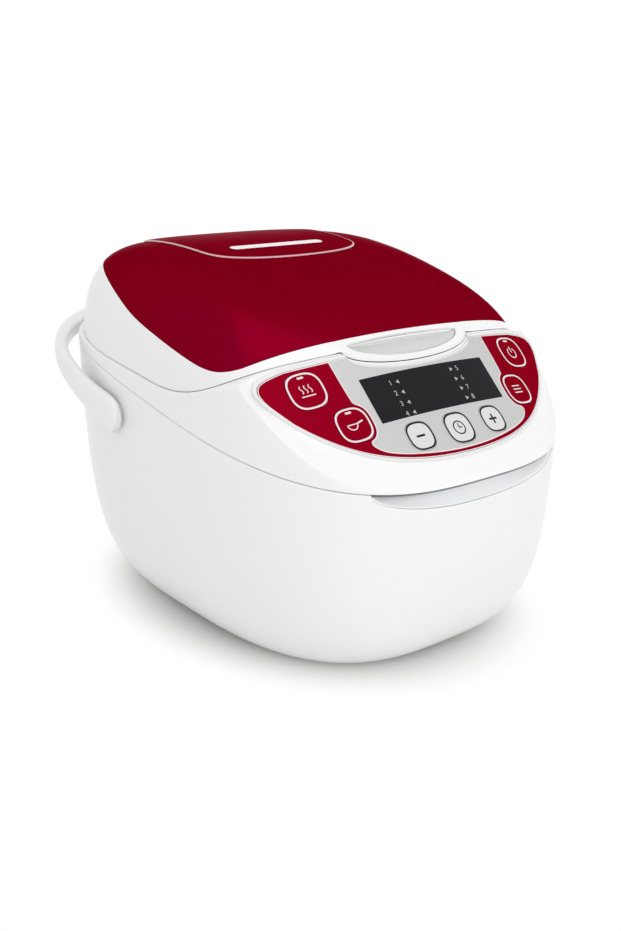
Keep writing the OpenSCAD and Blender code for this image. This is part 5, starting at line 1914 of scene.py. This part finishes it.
@dataclass(frozen=True)
class CoilSpec:
    """One coil spring: its node, body, frames and wire."""

    node: str
    body: str
    frames: tuple[Matrix, ...]
    radius: float
    wire: float
    turns: int
    length: float


@dataclass
class Springs(SubAssembly):
    """Smooth coils in place of the CAD ones."""

    def coil(self, mould: Mould, spec: CoilSpec, frame: Matrix) -> None:
        """Sweeps one coil.

        Args:
            mould: where it goes.
            spec: its sizes.
            frame: its foot and axis.
        """
        def at(r: float, a: float, z: float) -> Point:
            """Point at a radius, an angle and a height."""
            return tuple(frame @ Vector((r * math.cos(a), r * math.sin(a), z)))

        steps, end = spec.turns * 30, 2 * math.pi * spec.turns
        rings = []
        for k in range(steps + 1):
            a, z = end * k / steps, spec.length * k / steps
            rings.append([at(spec.radius + spec.wire * math.cos(q), a, z - spec.wire * math.sin(q))
                          for q in circle_of(10)])
        mould.loft(rings, low=at(spec.radius, 0, 0), high=at(spec.radius, end, spec.length))

    def build(self) -> None:
        """Makes the hinge, sensor and button coils."""
        form = self.form
        button = form.button_frame()
        hinge = Matrix.Translation((45.9, form.hinge_y, form.hinge_z)) @ Matrix.Rotation(math.pi / 2, 4, "Y")
        sensor = Matrix.Translation((0, form.lid_cy, 21.3))
        pair = tuple(button @ Matrix.Translation((side * 28.0, 1.5, -11.2)) for side in (-1, 1))
        made = {}
        for spec in (CoilSpec("hinge_spring", "base", (hinge,), 3.7, 0.7, 4, 8.0),
                     CoilSpec("sensor_spring", "base", (sensor,), 10.0, 0.8, 4, 15.2),
                     CoilSpec("button_springs", "lid", pair, 3.4, 0.6, 4, 7.2)):
            mould = Mould()
            for frame in spec.frames:
                self.coil(mould, spec, frame)
            name = spec.node.replace("_spring", "_coil")
            made[spec.node] = self.keep(mould, name, spec.body, Look.STEEL, [spec.node], "steel", 60)
        to_row = form.to_row()
        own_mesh(made["sensor_spring"])
        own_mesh(made["button_springs"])


@dataclass
class Carried(SubAssembly):
    """CAD nodes that keep their shape: smooth shaded copies of those that show, and finishes for the rest."""

    nodes: dict[str, bpy.types.Object] = field(default_factory=dict)
    smooth: tuple[str, ...] = (
        "cooking_pot", "inner_lid", "inner_gasket", "lid_tray", "steam_seat", "panel_fascia", "panel_insert",
        "display_window", "feet", "hinge_lugs", "lid_hinge", "inner_knob", "sensor_cap", "heating_plate", "base_plate")

    def build(self) -> None:
        """Copies the nodes that show, merges their triangles and shades them smooth."""
        for name in self.smooth:
            node = self.nodes[name]
            mesh = node.data.copy()
            mesh.name = name + "_fine"
            bm = bmesh.new()
            bm.from_mesh(mesh)
            bmesh.ops.remove_doubles(bm, verts=bm.verts, dist=2e-6)
            bm.to_mesh(mesh)
            bm.free()
            look = next(look for look, names in NODE_LOOKS.items() if name in names)
            self.ride(mesh, node["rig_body"], look, [name], "", 28)

    def dress(self) -> None:
        """Finishes the copies and every CAD node."""
        super().dress()
        for look, names in NODE_LOOKS.items():
            for name in names:
                self.book.paint(self.nodes[name], look)


@dataclass(frozen=True)
class Studio:
    """Pale floor, soft lamps and the photograph's camera, in metres."""

    azimuth: float = math.radians(-39.37)
    elevation: float = math.radians(17.98)
    roll: float = math.radians(0.53)
    place: Point = (-0.50085, -0.62553, 0.35166)
    lens: float = 42.496
    floor_half: float = 6.0
    paper: Colour = (0.82, 0.82, 0.82)
    # Painted shade on the floor: a darker paper round the body's outline, which fades to white further out; the next
    # fields set its place and reach.
    painted_shade: Colour = (0.66, 0.65, 0.64)
    body_half: Flat = (0.138, 0.178)
    painted_shade_y: float = 0.061
    painted_shade_from: float = 0.72
    painted_shade_to: float = 1.14
    glow: float = 0.65

    def camera(self) -> None:
        """Sets the camera."""
        a, e, r = self.azimuth, self.elevation, self.roll
        back = Vector((math.sin(a) * math.cos(e), -math.cos(a) * math.cos(e), math.sin(e)))
        right = Vector((math.cos(a), math.sin(a), 0.0))
        down = -back.cross(right)
        x = math.cos(r) * right - math.sin(r) * down
        y = -(math.sin(r) * right + math.cos(r) * down)
        data = bpy.data.cameras.new("photo_camera")
        data.lens = self.lens
        data.sensor_width = 36.0
        data.sensor_fit = "AUTO"
        data.clip_start = 0.01
        obj = set_down("photo_camera", data)
        obj.matrix_world = Matrix.Translation(self.place) @ Matrix((x, y, back)).transposed().to_4x4()
        bpy.context.scene.camera = obj

    def floor_paper(self) -> bpy.types.Material:
        """Paper that lights plainly, and that the camera sees as white, with painted shade round the body: darker paper
        near its outline that deepens the shadow there.

        Returns:
            The material.
        """
        mat = bpy.data.materials.new("floor_paper")
        mat.use_nodes = True
        nodes, graph = mat.node_tree.nodes, Graph(mat.node_tree)
        nodes.remove(nodes["Principled BSDF"])
        paper, painted_shade = (graph.add("ShaderNodeBsdfDiffuse", {"Color": (*colour, 1)}).outputs[0]
                        for colour in (self.paper, self.painted_shade))
        white = graph.add("ShaderNodeEmission").outputs[0]
        # Painted shade: the camera sees the darker paper close to the body's outline, which deepens the real shadow
        # there, and plain white further out.
        wide, deep = self.body_half
        stretch = graph.add("ShaderNodeMapping", {"Vector": graph.place(), "Scale": (1 / wide, 1 / deep, 0.0),
                                                  "Location": (0.0, self.painted_shade_y, 0.0)})
        gap = graph.add("ShaderNodeVectorMath", {0: stretch.outputs[0]}, operation="LENGTH")
        rise = graph.add("ShaderNodeMapRange", {"Value": gap.outputs["Value"], "From Min": self.painted_shade_from,
                                                "From Max": self.painted_shade_to}, interpolation_type="SMOOTHSTEP")
        fade = graph.pick(rise.outputs["Result"], painted_shade, white)
        graph.put(nodes["Material Output"].inputs["Surface"], graph.pick(graph.seen(), paper, fade))
        return mat

    def floor(self) -> None:
        """Lays the pale floor."""
        bm = bmesh.new()
        bmesh.ops.create_grid(bm, x_segments=1, y_segments=1, size=self.floor_half)
        mesh = bpy.data.meshes.new("floor")
        bm.to_mesh(mesh)
        bm.free()
        mesh.materials.append(self.floor_paper())
        obj = set_down("floor", mesh)

    def world(self) -> None:
        """Sets a white surround that lights plainly."""
        world = bpy.data.worlds.new("studio")
        bpy.context.scene.world = world
        world.use_nodes = True
        nodes, graph = world.node_tree.nodes, Graph(world.node_tree)
        plain = nodes["Background"]
        white = graph.add("ShaderNodeBackground", {"Strength": 1.0})
        plain.inputs["Strength"].default_value = self.glow
        for node in (plain, white):
            node.inputs["Color"].default_value = (1, 1, 1, 1)
        pick = graph.pick(graph.seen(), plain.outputs[0], white.outputs[0])
        graph.put(nodes["World Output"].inputs["Surface"], pick)

    @staticmethod
    def lamp(name: str, place: Point, size: float, watts: float, aim: Point = (0.0, -0.02, 0.12)) -> None:
        """Hangs a soft lamp.

        Args:
            name: its name.
            place: where it hangs.
            size: edge of its square.
            watts: its power.
            aim: what it points at.
        """
        data = bpy.data.lights.new(name, "AREA")
        data.shape = "SQUARE"
        data.size = size
        data.energy = watts
        back = (Vector(place) - Vector(aim)).normalized()
        set_down(name, data).matrix_world = (Matrix.Translation(place)
                                             @ back.to_track_quat("Z", "Y").to_matrix().to_4x4())

    def build(self) -> None:
        """Makes camera, floor, world and lamps."""
        bpy.context.scene.view_settings.view_transform = "Standard"
        self.camera()
        self.floor()
        self.world()
        self.lamp("top_soft", (0.2, -0.3, 2.2), 1.8, 9.5)
        self.lamp("front_soft", (0.9, -1.9, 0.45), 1.4, 11.5)
        self.lamp("left_soft", (-1.6, -1.1, 0.7), 1.4, 10.0)


def main() -> None:
    """Builds the cooker's sub-assemblies in order, dresses them and sets the studio."""
    logging.basicConfig(level=logging.INFO, format="%(name)s: %(message)s")
    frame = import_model()
    form = Form()
    book = FinishBook()
    rays = body_rays(form)
    panel = Panel(form, book)
    parts: list[SubAssembly] = [
        Body(form, book, rays=rays, outline=panel.outline()), Lid(form, book, rays=rays), panel, Handle(form, book),
        Springs(form, book), Carried(form, book, nodes=frame["nodes"])]
    for part in parts:
        part.build()
        part.dress()
        for obj, _ in part.made:
            log.info("%s: %s, %d faces", type(part).__name__, obj.name, len(obj.data.polygons))
    Studio().build()


if __name__ == "__main__":
    main()
